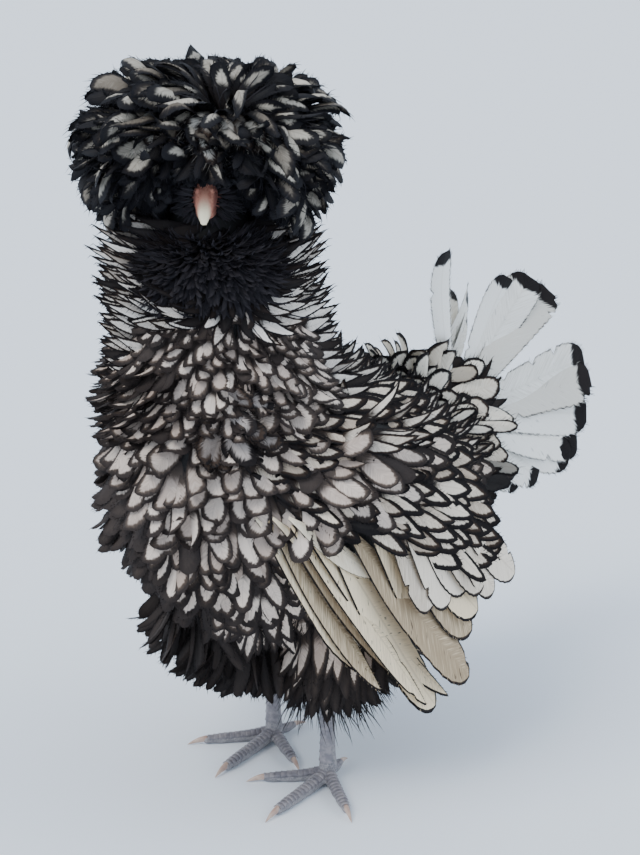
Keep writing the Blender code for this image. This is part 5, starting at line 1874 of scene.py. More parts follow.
@dataclass
class NeckCoat:
    """Hackles that stand out from the neck, parted under the bill, over a bib of scales."""

    seed: int = 5
    tiers: int = 22
    spacing: float = 0.0072
    bib_spacing: float = 0.0063
    parting: float = 18.0
    bib_half: float = 1.15
    bib_tiers: int = 14
    loose: int = 900

    def rings(self, heights: Array, spacing: float, draw: Draw) -> Array:
        """Turns round the neck and heights of the roots on staggered rings."""
        levels = [row[0] for row in NECK_STATIONS]
        found = []
        for k, z in enumerate(heights):
            half = float(smooth(NECK_STATIONS, np.interp(z, levels, range(len(levels))))[0, 2])
            count = int(2 * math.pi * half / spacing)
            turn = np.arange(count) + 0.5 * (k % 2) + draw.uniform(-0.25, 0.25, count)
            found.append((turn * 2 * math.pi / count, z + draw.normal(0, 0.0012, count)))
        return np.concatenate(found, 1)

    def ahead(self) -> Array:
        """The way the parting faces."""
        angle = math.radians(self.parting)
        return HEAD_FORWARD * math.cos(angle) + HEAD_SIDE * math.sin(angle)

    def frame(self, turn: Array, z: Array) -> tuple[Array, Array, Array, Array]:
        """Roots, outward ways, ways aside and the angles from the parting."""
        here = neck_ring(z, turn)
        out = unit(here - cols(0, -0.074, z - 0.004))
        ahead = self.ahead()
        off = np.arctan2((np.cross(ahead, out) * UP).sum(1), (out * ahead).sum(1))
        return here, out, np.cross(UP, out), off

    def tract(self) -> Tract:
        """Places and sizes of the hackles."""
        draw = default_rng(self.seed)
        turn, z = self.rings(np.linspace(0.268, 0.358, self.tiers), self.spacing, draw)
        here, out, aside, off = self.frame(turn, z)
        keep = ~((np.abs(off) < self.bib_half) & (z < 0.310))
        turn, z, here, out, aside, off = (x[keep] for x in (turn, z, here, out, aside, off))
        count = len(here)
        wide = np.abs(off)
        away = np.tanh(off / 0.30) * ease(math.pi, 2.0, wide)
        fall = 0.26 + 0.45 * (1 - np.abs(away)) + 0.4 * ease(1.6, 2.9, wide) + 0.25 * ease(0.30, 0.268, z)
        lie = aside * (0.95 * away)[:, None] - UP * fall[:, None]
        lie = lie + aside * draw.normal(0, 0.10, (count, 1)) + UP * draw.normal(0, 0.10, (count, 1))
        lie = across(lie, out)
        beside = ease(0.5, 1.2, wide)
        faced = (0.62 * beside * ease(2.7, 2.0, wide))[:, None]
        lie = unit(lie + out * 0.95 * faced)
        out = across(out * (1 - faced) + self.ahead() * faced, lie)
        length = np.interp(z, (0.268, 0.300, 0.358), (0.034, 0.029, 0.026))
        length = length + 0.009 * beside * ease(0.32, 0.345, z)
        length = length * drawn(draw, count, 0.84, 1.12) * (1 - 0.14 * ease(0.0, -0.03, here[:, 0]))
        length = length * (1 - 0.5 * faced[:, 0] * ease(0.310, 0.275, z))
        width = np.interp(z, (0.268, 0.358), (0.0092, 0.0068)) * drawn(draw, count, 0.86, 1.14)
        places = cols(round_place(turn), (z - 0.255) / 0.11 * 0.96)
        rise = np.sign((np.cross(lie, out) * UP).sum(1)) * np.abs(away)
        dark = 0.25 * ease(0.340, 0.358, z + draw.normal(0, 0.004, count))
        half = np.interp(z, (0.305, 0.345), (0.40, 1.05))
        front = np.clip((half - np.abs(off + 0.22)) / 0.35, 0, 1) * ease(0.310, 0.328, z)
        curl = curls(draw, count, (24, 30, 42, 70), 0.15) * (1 - 0.75 * faced)
        made = Tract(here, lie, out, length, width, curl, places)
        dark = np.maximum(np.maximum(dark, front), 0.05)
        return made.loosen(draw, rise * drawn(draw, count, 0.26, 0.62), 0.30, dark)

    def shoulder(self) -> Tract:
        """Loose feathers that round off the far side below the hackles."""
        draw = default_rng(self.seed + 2)
        turn, z = draw.uniform(0, 2 * math.pi, self.loose), draw.uniform(0.252, 0.298, self.loose)
        here, out, _, _ = self.frame(turn, z)
        keep = (here @ HEAD_SIDE < -0.066) & (here[:, 1] < -0.03)
        turn, here, out = turn[keep], here[keep], out[keep]
        count = len(here)
        lie = unit(out * draw.uniform(0.15, 0.50, (count, 1)) - UP + draw.normal(0, 0.15, (count, 3)))
        return Tract(
            here, lie, across(out, lie), drawn(draw, count, 0.023, 0.034), drawn(draw, count, 0.0070, 0.0105),
            curls(draw, count, (12, 20, 32, 62), 0.25),
            cols(round_place(turn), 0.44),
            bends=draw.normal(0, 0.12, count),
            rolls=draw.normal(0, 0.35, count),
            pales=np.where(draw.random(count) < 0.34, 0.01, 0.85),
            tones=draw.random(count),
        )

    def bib(self) -> Tract:
        """Scales on the front of the neck, which carry on those of the breast."""
        draw = default_rng(self.seed + 1)
        turn, z = self.rings(np.linspace(0.264, 0.320, self.bib_tiers), self.bib_spacing, draw)
        here, out, aside, off = self.frame(turn, z)
        keep = np.abs(off) < self.bib_half + 0.15
        turn, z, here, out, aside, off = (x[keep] for x in (turn, z, here, out, aside, off))
        count = len(here)
        lie = aside * (0.30 * off + draw.normal(0, 0.18, count))[:, None] - UP
        high = ease(0.285, 0.318, z)
        made = Tract(
            here, across(lie, out), out,
            (0.0232 - 0.0072 * high) * drawn(draw, count, 0.80, 1.15),
            (0.0106 - 0.0026 * high) * drawn(draw, count, 0.80, 1.15),
            curls(draw, count, (20, 28, 38, 66), 0.25),
            cols(round_place(turn), 0.02 + (z - 0.26) * 0.4),
        )
        return made.loosen(draw, 0.08, 0.24, 0.03 + 0.12 * high)


def globe_roots(shape: tuple[float, ...], ways: Array) -> tuple[Array, Array]:
    """Places and outward normals on an ellipsoid of the head, in given (side, forward, up) directions."""
    forward, z, side, ahead, up = shape
    local = ways * np.array((side, ahead, up))
    normal = unit(ways / np.array((side, ahead, up)))
    here = head_point(local[:, 0], forward + local[:, 1], z + local[:, 2])
    out = HEAD_SIDE * normal[:, :1] + HEAD_FORWARD * normal[:, 1:2] + UP * normal[:, 2:]
    return here, out


@dataclass
class CrestCoat:
    """The globe of crest feathers, which part from a point over the forehead.

    Each feather stands up from the crown and bends over, so that its tip lies along the globe.
    """

    count: int = 1520
    fringed: int = 26
    seed: int = 7
    pole_rise: float = 64.0
    pole_side: float = 0.16
    globe: tuple[float, ...] = (-0.003, 0.4045, 0.0790, 0.0690, 0.0486)
    droop: float = 0.0780
    lowest: float = 0.3470
    highest: float = 0.4462

    def pole(self) -> Array:
        """The direction from which the feathers part."""
        rise = math.radians(self.pole_rise)
        return unit(HEAD_FORWARD * math.cos(rise) + UP * math.sin(rise) + HEAD_SIDE * self.pole_side)

    def ways(self, draw: Draw) -> Array:
        """Directions from the crest's middle to the roots, without the face and the underside."""
        ways = golden(self.count)[:, [0, 2, 1]]
        ways = unit(ways + draw.normal(0, 0.02, ways.shape))
        here, _ = globe_roots(CREST_CORE, ways)
        return ways[(ways[:, 2] > -0.62) & ~in_hollow(here, 1.05)]

    def tract(self) -> Tract:
        """Places and sizes of the crest's feathers."""
        draw = default_rng(self.seed)
        ways = self.ways(draw)
        here, out = globe_roots(CREST_CORE, ways)
        count = len(here)
        flow = across(np.broadcast_to(-self.pole(), out.shape), out)
        behind = ease(0.1, 0.9, -ways[:, 1])[:, None]
        flow = across(flow * (1 - behind) - UP * behind, out)
        lie = across(flow + np.cross(flow, out) * draw.normal(0, 0.50, (count, 1)), out)
        curl = curls(draw, count, (72, 62, 38, 10), 0.12)
        curl[:, 3] += draw.normal(0.15, 0.70, count)
        curl[:, 2] += draw.normal(0, 0.24, count)
        turn = np.arctan2(ways[:, 0], ways[:, 1])
        places = cols(0.02 + 0.96 * (turn / (2 * math.pi) + 0.5), 0.5 + 0.48 * ways[:, 2])
        aside, ahead, up = np.abs(ways[:, 0]), ways[:, 1], ways[:, 2]
        middle = ease(0.50, 0.25, aside) * ease(0.1, 0.5, ahead) * ease(0.75, 0.4, up)
        face = ease(0.75, 0.45, aside) * ease(0.0, 0.3, ahead) * ease(0.35, 0.05, up)
        pale = draw.random(count) > 0.30 + 0.22 * middle + 0.48 * face
        width = drawn(draw, count, 0.62, 1.26) * np.where(pale, 0.0124, 0.0080)
        made = Tract(
            here, lie, out, 0.0, width, curl, places,
            bends=draw.normal(0, 0.22, count),
            rolls=draw.normal(0, 0.75, count),
            pales=np.where(pale, drawn(draw, count, 0.55, 1.0), 0.015),
            tones=draw.random(count),
        )
        self.measure(made, draw, ways)
        return made

    def measure(self, made: Tract, draw: Draw, ways: Array) -> None:
        """Sets the lengths so that the tips end on the globe, or just inside it, and clear the face."""
        forward, z, side, ahead, up = self.globe
        count, fall = len(ways), made.tips()[:, 2]
        low = ease(0.0, 0.35, np.abs(ways[:, 0])) * (fall < 0.2)
        made.reach(head_point(0, forward, z), cols(side, ahead, up + (self.droop - up) * low), 0.022, 0.054)
        short = draw.random(count) < 0.50
        made.lengths *= np.where(short, drawn(draw, count, 0.55, 0.88), drawn(draw, count, 0.90, 1.0))
        local = (made.roots - HEAD_AXIS) @ HEAD_TURNED
        floor = np.interp(np.abs(local[:, 0]), (0.018, 0.044), (0.3880, self.lowest))
        floor = np.where(local[:, 1] > 0.004, floor, self.lowest)
        room = np.maximum((made.roots[:, 2] - floor) / np.maximum(-fall, 0.05), 0.016)
        made.lengths = np.where(fall < 0, np.minimum(made.lengths, room), made.lengths)
        room = (self.highest - made.roots[:, 2]) / np.maximum(made.peaks(), 0.05)
        made.lengths = np.minimum(made.lengths, room)

    def fringe(self) -> Tract:
        """Soft grey feathers that hang forward from the parting, over the forehead."""
        draw = default_rng(self.seed + 1)
        count = self.fringed
        spread = np.linspace(-1, 1, count) + draw.normal(0, 0.05, count)
        ways = unit(cols(0.42 * spread + 0.10, 0.80 - 0.15 * spread**2, drawn(draw, count, 0.55, 0.95)))
        here, out = globe_roots(CREST_CORE, ways)
        ahead = HEAD_FORWARD * 0.6 - UP + HEAD_SIDE * (0.45 * spread)[:, None]
        lie = across(ahead + draw.normal(0, 0.12, (count, 3)), out)
        length = 0.040 * drawn(draw, count, 0.75, 1.10)
        curl = curls(draw, count, (66, 46, 8, -22), 0.12)
        width = 0.0125 * drawn(draw, count, 0.85, 1.15)
        made = Tract(here, lie, out, length, width, curl, cols(0.5 + 0.2 * spread, 0.9))
        return made.loosen(draw, 0.10, 0.35)


def in_hollow(points: Array, grow: float) -> Array:
    """Whether points lie in the hollow of the face, grown by a factor."""
    forward, z, *sizes = FACE_HOLLOW
    return (((points - head_point(0, forward, z)) @ HEAD_TURNED / (np.array(sizes) * grow)) ** 2).sum(1) < 1


@dataclass
class BeardCoat:
    """Small, curled black feathers of the throat and muffs, and bristles on the face."""

    seed: int = 9
    count: int = 1900
    bristles: int = 1100

    def throat(self, draw: Draw) -> Tract:
        """The beard's own feathers."""
        ways = golden(self.count)[:, [0, 2, 1]]
        ways = unit(ways + draw.normal(0, 0.02, ways.shape))
        ways = ways[(ways[:, 1] > -0.55) & (ways[:, 2] < 0.93)]
        return self.grow(draw, ways, BEARD_CORE, (0.0150, 0.0028), 0.23)

    def face(self, draw: Draw) -> Tract:
        """Bristles of the face, clear of the bill and the eyes."""
        ways = unit(golden(self.bristles)[:, [0, 2, 1]])
        here, _ = globe_roots(SKULL, ways)
        clear = ways[:, 1] > -0.3
        spots = [(0, 0.022, 0.3735, 0.0060)]
        spots += [(side.value * EYE_PLACE[0], *EYE_PLACE[1:], 0.0062) for side in Side]
        for *spot, room in spots:
            clear &= np.linalg.norm(here - head_point(*spot), axis=1) > room
        return self.grow(draw, ways[clear], SKULL, (0.0095, 0.0016), 0.73)

    def grow(self, draw: Draw, ways: Array, core: Table, size: tuple[float, float], place: float) -> Tract:
        """Feathers that lie back and down from the bill.

        Args:
            draw: Seeded numbers.
            ways: Directions from the core's middle.
            core: The ellipsoid that they stand on.
            size: Middle length and width.
            place: Where their bake patches lie.

        Returns:
            The tract.
        """
        here, out = globe_roots(core, ways)
        count = len(here)
        flow = across(unit(here - head_point(0, 0.030, 0.372)) - UP * 0.5, out)
        lie = across(flow + np.cross(flow, out) * draw.normal(0, 0.3, (count, 1)), out)
        length = size[0] * drawn(draw, count, 0.8, 1.15)
        width = size[1] * drawn(draw, count, 0.85, 1.15)
        curl = curls(draw, count, (24, 32, 50, 80), 0.2)
        places = cols(0.5 + 0.48 * ways[:, 0], place + 0.23 * ways[:, 2])
        return Tract(here, lie, out, length, width, curl, places).loosen(draw, 0.14, 0.4)

    def tract(self) -> Tract:
        """Beard and face together."""
        draw = default_rng(self.seed)
        return merged([self.throat(draw), self.face(draw)])


@dataclass
class Fluff:
    """Loose black down under the belly, round the thighs and below the tail."""

    ground: Ground
    seed: int = 31
    strands: int = 5
    tufts: int = 4600
    round_thigh: int = 190

    def tuft(self) -> Obj:
        """A tuft one unit long: thin strands from one root, spread and bent."""
        draw = default_rng(self.seed)
        points, faces, patches = [], [], []
        stations = np.linspace(0, 1, 5)[:-1]
        for k in range(self.strands):
            aside, lift = draw.uniform(-0.34, 0.34), draw.uniform(-0.12, 0.20)
            length = draw.uniform(0.60, 1.0)
            start = len(points)
            for t in stations:
                centre = np.array((t * length, aside * t + 0.10 * math.sin(5 * t + k), lift * t * t))
                half = 0.022 * (1 - 0.70 * t)
                for j in range(3):
                    turn = 2 * math.pi * j / 3 + k
                    points.append(centre + half * np.array((0, math.sin(turn), math.cos(turn))))
                    patches.append((t - 0.5, (k / self.strands) - 0.5))
            points.append(np.array((length, aside + 0.10 * math.sin(5 + k), lift)))
            patches.append((0.5, (k / self.strands) - 0.5))
            tip = len(points) - 1
            for i in range(len(stations) - 1):
                for j in range(3):
                    a, b = start + 3 * i + j, start + 3 * i + (j + 1) % 3
                    faces.append((a, a + 3, b + 3, b))
            last = start + 3 * (len(stations) - 1)
            faces += [(last + j, tip, last + (j + 1) % 3) for j in range(3)]
            faces.append((start, start + 1, start + 2))
        return small_shape("tuft", np.array(points), faces, np.array(patches))

    def rows(self) -> dict[str, Array]:
        """Where the tufts lie and how large they are."""
        draw = default_rng(self.seed + 1)
        ways = golden(self.tufts) * EGG_AXES
        hit, here, out = self.ground.meet(EGG_CENTRE + ways * 3, -unit(ways))
        # On the far side the black down reaches higher up the belly, as painted shade.
        far_side_shade = ease(-0.040, -0.060, here @ HEAD_SIDE)
        belly = hit & (here[:, 2] < 0.130 + 0.022 * far_side_shade) & (here[:, 2] > 0.080)
        vent = hit & (here[:, 1] > 0.088) & (here[:, 2] < 0.205) & (here[:, 2] > 0.12)
        keep = belly | (vent & (draw.random(len(hit)) < 0.8))
        parts = [(here[keep], out[keep])]
        for leg in LEGS:
            turn = draw.uniform(0, 2 * math.pi, self.round_thigh)
            z = draw.uniform(0.066, 0.100, self.round_thigh)
            half, deep = thigh_sizes(z)
            side = cols(np.sin(turn), np.cos(turn), 0)
            rim = leg.thigh_centre(z) + side * cols(half, deep, 0) * 0.9
            parts.append((rim, side))
        here, out = (np.concatenate([part[k] for part in parts]) for k in (0, 1))
        count = len(here)
        rear = ease(0.09, 0.13, here[:, 1])[:, None]
        lie = across(-UP + np.array((0, 1.3, 0.3)) * rear + draw.normal(0, 0.20, (count, 3)), out)
        lie = unit(lie + out * draw.uniform(0.15, 0.75, (count, 1)))
        under = ease(0.125, 0.100, here[:, 2]) * ease(0.06, 0.0, here[:, 1])
        length = drawn(draw, count, 0.020, 0.031) + 0.016 * under * draw.random(count)
        size = cols(length, length * 0.8, length * 0.8)
        grid = cols(here[:, 0] * 3 + 0.5, here[:, 1] * 2 + 0.5, 0)
        return {"here": here - lie * 0.003, "turn": frames(lie, out), "size": size, "place": grid}


@dataclass(frozen=True)
class QuillRow:
    """A row of wing feathers: first and last root, fall and length, then width, count and lift."""

    first: tuple[float, float]
    last: tuple[float, float]
    falls: tuple[float, float]
    lengths: tuple[float, float]
    width: float
    count: int
    lift: float


PRIMARIES = QuillRow((-0.102, 0.199), (-0.080, 0.190), (57, 50), (0.124, 0.166), 0.0180, 5, 0.005)
PINIONS = QuillRow((-0.105, 0.201), (-0.092, 0.202), (47, 37), (0.124, 0.084), 0.0140, 3, 0.010)
SECONDARIES = QuillRow((-0.066, 0.188), (0.026, 0.194), (55, 44), (0.154, 0.064), 0.0340, 8, 0.006)
TERTIALS = QuillRow((-0.022, 0.176), (0.034, 0.182), (56, 44), (0.056, 0.078), 0.0290, 6, 0.012)
COVERT_CURL = (8, 14, 20, 44)
QUILL_CURL = (0, 0, 2, 9)


@dataclass
class WingCoat:
    """One drooped wing: flight feathers, and rows of laced coverts over their roots."""

    side: Side
    seed: int = 13

    def row(self, row: QuillRow, draw: Draw) -> Tract:
        """The tract of one row of flight feathers."""
        share = np.linspace(0, 1, row.count)
        y, z = (a + (b - a) * share for a, b in zip(row.first, row.last))
        fall = np.radians(np.interp(share, (0, 1), row.falls) + draw.uniform(-1, 1, row.count))
        sign = self.side.value
        out = np.broadcast_to(unit(np.array((sign, 0, 0.15))), (row.count, 3)).copy()
        tilt = cols(0, np.sin(fall), np.cos(fall)) * 0.20
        lie = across(falling(fall), out)
        step = 0.0050 / row.count
        root = cols(sign * (flank_x(y, z) + row.lift + step * np.arange(row.count)), y, z)
        length = np.interp(share, (0, 1), row.lengths) * draw.uniform(0.97, 1.03, row.count)
        width = np.full(row.count, row.width)
        curl = curls(draw, row.count, QUILL_CURL, 0.1) * 0.8
        places = cols(0.1 + 0.8 * share, 0.1 if row is PRIMARIES else 0.2)
        tones = draw.random(row.count)
        bends = draw.normal(0.05 * sign, 0.03, row.count)
        return Tract(root, lie, unit(out + tilt), length, width, curl, places, bends, tones=tones)

    def coverts(self) -> Tract:
        """The tract of all covert and shoulder feathers, smaller towards the shoulder."""
        draw = default_rng(self.seed + self.side.value)
        y, z = np.meshgrid(np.arange(-0.118, 0.070, 0.0102), np.arange(0.130, 0.262, 0.0074))
        y = y + 0.0051 * (np.arange(y.shape[0])[:, None] % 2)
        y, z = y.ravel() + draw.normal(0, 0.0012, y.size), z.ravel() + draw.normal(0, 0.0010, z.size)
        rear_edge = np.interp(z, (0.14, 0.19, 0.25), (0.052, 0.044, 0.020))
        keep = inside(WING_OUTLINE, y, z) & (z > 0.216 - 0.43 * (y + 0.105)) & (y < rear_edge)
        y, z = y[keep], z[keep]
        count, sign = len(y), self.side.value
        high, rear = ease(0.185, 0.255, z), ease(-0.10, 0.05, y)
        fall = np.radians(48 - 24 * rear - 18 * high + draw.normal(0, 8, count))
        out = unit(cols(sign, -0.10 + 0.2 * rear, 0.15 + 0.6 * high))
        root = cols(sign * (flank_x(y, z) + (0.006 + 0.009 * rear) * (1 - 0.6 * high)), y, z)
        length = (0.041 - 0.010 * high) * drawn(draw, count, 0.84, 1.12)
        width = (0.0132 + 0.002 * rear - 0.003 * high) * drawn(draw, count, 0.84, 1.14)
        places = cols((y + 0.13) / 0.22, 0.35 + (z - 0.18) / 0.09 * 0.6)
        curl = curls(draw, count, COVERT_CURL, 0.25)
        made = Tract(root, across(falling(fall), out), out, length, width, curl, places)
        bend = sign * drawn(draw, count, 0.0, 0.20)
        return made.loosen(draw, bend, 0.22, 0.03 + 0.6 * ease(0.030, 0.050, y))


# Tail quills: elevation, splay to the side, length and width. The near side stands wide open.
TAIL_LEFT: Table = (
    (104, 1, 0.114, 0.018),
    (63, 8, 0.098, 0.026),
    (58, 8, 0.102, 0.030),
    (51, 9, 0.104, 0.032),
    (44, 9, 0.104, 0.032),
    (38, 10, 0.105, 0.026),
    (11, 9, 0.127, 0.034),
    (4, 10, 0.124, 0.034),
    (-3, 10, 0.121, 0.036),
    (-9, 11, 0.119, 0.034),
    (-16, 12, 0.118, 0.034),
    (-22, 12, 0.117, 0.032),
    (-34, 13, 0.094, 0.028),
    (-42, 14, 0.080, 0.024),
)
TAIL_RIGHT: Table = (
    (54, 6, 0.090, 0.026),
    (44, 7, 0.096, 0.030),
    (34, 8, 0.098, 0.026),
    (14, 9, 0.112, 0.034),
    (6, 10, 0.116, 0.034),
    (-2, 11, 0.116, 0.034),
    (-12, 12, 0.116, 0.034),
    (-22, 13, 0.112, 0.034),
    (-32, 14, 0.098, 0.030),
    (-42, 15, 0.082, 0.026),
)
TAIL_CURL = (2, 0, 4, 16)


def splayed(side: Side, rise: Array, splay: Array) -> tuple[Array, Array, Array, Array]:
    """The way aside, then for each quill the way up the fan, along the shaft and square to it.

    Args:
        side: The side of the body.
        rise: Elevations in degrees.
        splay: Angles to the side in degrees.
    """
    rise, splay = np.radians(rise), np.radians(splay)
    aside = EAST * side.value
    fan = cols(0, np.cos(rise), np.sin(rise))
    lie = unit(fan * np.cos(splay)[:, None] + aside * np.sin(splay)[:, None])
    return aside, fan, lie, cols(0, -np.sin(rise), np.cos(rise))


@dataclass
class TailCoat:
    """The frayed white fan of the tail, on both sides of the stump."""

    seed: int = 17
    slats: float = 0.20
    spread: tuple[float, float] = (0.014, 0.004)

    def half(self, side: Side, rows: Table) -> Tract:
        """The quills of one side, which overlap as slats do.

        Args:
            side: The side of the body.
            rows: Elevation, splay, length and width of each quill, from the top.

        Returns:
            The tract.
        """
        draw = default_rng(self.seed + side.value)
        rise, splay, length, width = np.array(rows).T
        count = len(rise)
        aside, fan, lie, upright = splayed(side, rise + draw.uniform(-1.5, 1.5, count), splay)
        share = np.linspace(0, 1, count)
        root = TAIL_ROOT + fan * 0.012 + aside * np.interp(share, (0, 1), self.spread)[:, None]
        out = across(across(np.broadcast_to(aside, lie.shape), lie) + upright * self.slats, lie)
        places = cols(0.5 + side.value * (0.05 + 0.4 * share), 0.2)
        length = length * draw.uniform(0.97, 1.02, count)
        curl = curls(draw, count, TAIL_CURL, 0.3)
        return Tract(root, lie, out, length, width, curl, places).loosen(draw, 0.05, 0.22)

    def tract(self) -> Tract:
        """Both sides of the fan."""
        return merged([self.half(Side.LEFT, TAIL_LEFT), self.half(Side.RIGHT, TAIL_RIGHT)])


# Rump plumes of one side: root (outward, along Y, height), elevation, splay, length, width and paleness.
PLUMES: Table = (
    (0.012, 0.120, 0.218, 82, 0, 0.042, 0.0200, 1.00),
    (0.020, 0.125, 0.226, -3, 5, 0.050, 0.0190, 1.00),
    (0.014, 0.127, 0.214, 35, 0, 0.045, 0.0165, 1.00),
    (0.028, 0.121, 0.212, -17, 6, 0.052, 0.0240, 1.00),
    (0.030, 0.113, 0.222, -7, 6, 0.050, 0.0185, 1.00),
    (0.034, 0.099, 0.217, -8, 10, 0.042, 0.0185, 1.00),
    (0.012, 0.112, 0.216, 104, -3, 0.042, 0.0135, 1.00),
    (0.020, 0.094, 0.219, 78, 3, 0.037, 0.0150, 1.00),
    (0.028, 0.085, 0.219, 53, 11, 0.033, 0.0145, 1.00),
    (0.034, 0.075, 0.217, 35, 20, 0.031, 0.0140, 0.90),
    (0.036, 0.083, 0.213, 17, 17, 0.037, 0.0130, 1.00),
    (0.036, 0.092, 0.207, -12, 10, 0.050, 0.0130, 0.80),
    (0.034, 0.106, 0.202, -15, 9, 0.048, 0.0140, 0.80),
    (0.040, 0.091, 0.201, -18, 12, 0.043, 0.0120, 0.90),
    (0.036, 0.110, 0.192, -17, 7, 0.046, 0.0150, 1.00),
    (0.036, 0.115, 0.186, -22, 7, 0.048, 0.0115, 0.30),
    (0.034, 0.118, 0.179, -26, 7, 0.050, 0.0130, 0.01),
    (0.036, 0.111, 0.176, -28, 8, 0.048, 0.0130, 0.01),
    (0.036, 0.109, 0.171, -33, 9, 0.044, 0.0130, 0.01),
    (0.036, 0.109, 0.164, -40, 7, 0.041, 0.0130, 0.01),
    (0.030, 0.129, 0.170, -18, 5, 0.053, 0.0130, 0.01),
    (0.036, 0.112, 0.155, -45, 8, 0.038, 0.0120, 0.01),
    (0.036, 0.116, 0.143, -45, 7, 0.041, 0.0120, 0.01),
    (0.036, 0.116, 0.136, -49, 4, 0.044, 0.0120, 0.01),
    (0.004, 0.078, 0.230, 100, -5, 0.026, 0.0125, 1.00),
    (0.006, 0.089, 0.227, 91, 0, 0.030, 0.0125, 1.00),
    (0.010, 0.092, 0.224, 83, 4, 0.030, 0.0130, 1.00),
    (0.014, 0.070, 0.229, 72, 16, 0.023, 0.0120, 0.90),
    (0.022, 0.070, 0.227, 53, 22, 0.023, 0.0125, 1.00),
    (0.030, 0.066, 0.225, 35, 25, 0.026, 0.0125, 1.00),
)


@dataclass
class RumpCoat:
    """Curled plumes over the tail's root, with smaller dark ones under and between them."""

    seed: int = 37
    under: int = 5
    slats: float = 0.55

    def half(self, side: Side, draw: Draw) -> Tract:
        """The plumes of one side.

        Args:
            side: The side of the body.
            draw: Seeded numbers.

        Returns:
            The tract.
        """
        large = np.array(PLUMES)
        small = np.repeat(large, self.under, 0)
        count = len(small)
        small[:, :3] += draw.normal(0, 0.0065, (count, 3)) - (0.003, 0.004, 0.002)
        small[:, 3:5] += draw.normal(0, 14, (count, 2))
        small[:, 5] *= drawn(draw, count, 0.50, 0.86)
        small[:, 6] *= drawn(draw, count, 0.36, 0.66)
        small[:, 7] = np.minimum(small[:, 7], np.where(draw.random(count) < 0.72, 0.9, 0.01))
        x, y, z, rise, splay, length, width, pale = np.concatenate([large, small]).T
        count = len(x)
        x = np.minimum(np.abs(x), np.maximum(flank_x(np.minimum(y, 0.120), z), 0.004) + 0.004)
        rise = rise + draw.normal(0, 3, count)
        aside, _, lie, upright = splayed(side, rise, splay + draw.normal(0, 3, count))
        out = across(aside + upright * self.slats, lie)
        curl = curls(draw, count, (6, 6, 10, 34), 0.5)
        places = cols(0.5 + side.value * (0.05 + 0.4 * draw.random(count)), (z - 0.12) * 4)
        made = Tract(cols(side.value * x, y, z), lie, out, length, width, curl, places, pales=pale)
        return made.loosen(draw, side.value * drawn(draw, count, -0.04, 0.16), 0.30)

    def tract(self) -> Tract:
        """All the plumes of both sides."""
        draw = default_rng(self.seed)
        return merged([self.half(side, draw) for side in Side])


def merged(tracts: list[Tract]) -> Tract:
    """One tract that holds all the feathers of several."""
    names = vars(tracts[0])
    return Tract(**{name: np.concatenate([vars(t)[name] for t in tracts]) for name in names})


@dataclass
class ThighCoat:
    """The hanging feathers of one thigh."""

    leg: Leg
    seed: int = 19
    tiers: int = 9
    spacing: float = 0.0088

    def tract(self) -> Tract:
        """Places and sizes of the thigh's feathers."""
        draw = default_rng(self.seed + self.leg.side.value)
        rows = []
        for tier, z in enumerate(np.linspace(0.126, 0.074, self.tiers)):
            half, deep = thigh_sizes(z)
            count = max(8, int(math.pi * (half + deep) / self.spacing))
            order = np.arange(count) + 0.5 * (tier % 2) + draw.uniform(-0.2, 0.2, count)
            turn = order * 2 * math.pi / count
            out = cols(np.sin(turn), np.cos(turn), 0)
            here = self.leg.thigh_centre(np.full(count, z)) + out * np.array((half, deep, 0))
            rows.append(np.concatenate([here, out, turn[:, None]], 1))
        found = np.concatenate(rows)
        here, out, turn = found[:, :3], found[:, 3:6], found[:, 6]
        count, z = len(here), here[:, 2]
        lie = across(np.broadcast_to(-UP, out.shape) + draw.normal(0, 0.14, (count, 3)), out)
        levels = (0.074, 0.126)
        length = np.interp(z, levels, (0.024, 0.043)) * drawn(draw, count, 0.88, 1.08)
        width = np.interp(z, levels, (0.0080, 0.0115)) * drawn(draw, count, 0.88, 1.1)
        pale = draw.random(count) < 0.05 + 0.66 * ease(0.08, 0.125, z) ** 1.5
        curl = curls(draw, count, (10, 16, 24, 44), 0.25)
        places = cols(round_place(turn), (z - 0.06) / 0.08)
        made = Tract(here, lie, out, length, width, curl, places, pales=0.01 + 0.99 * pale)
        return made.loosen(draw, 0.06, 0.25)


# ---------------------------------------------------------------- stage


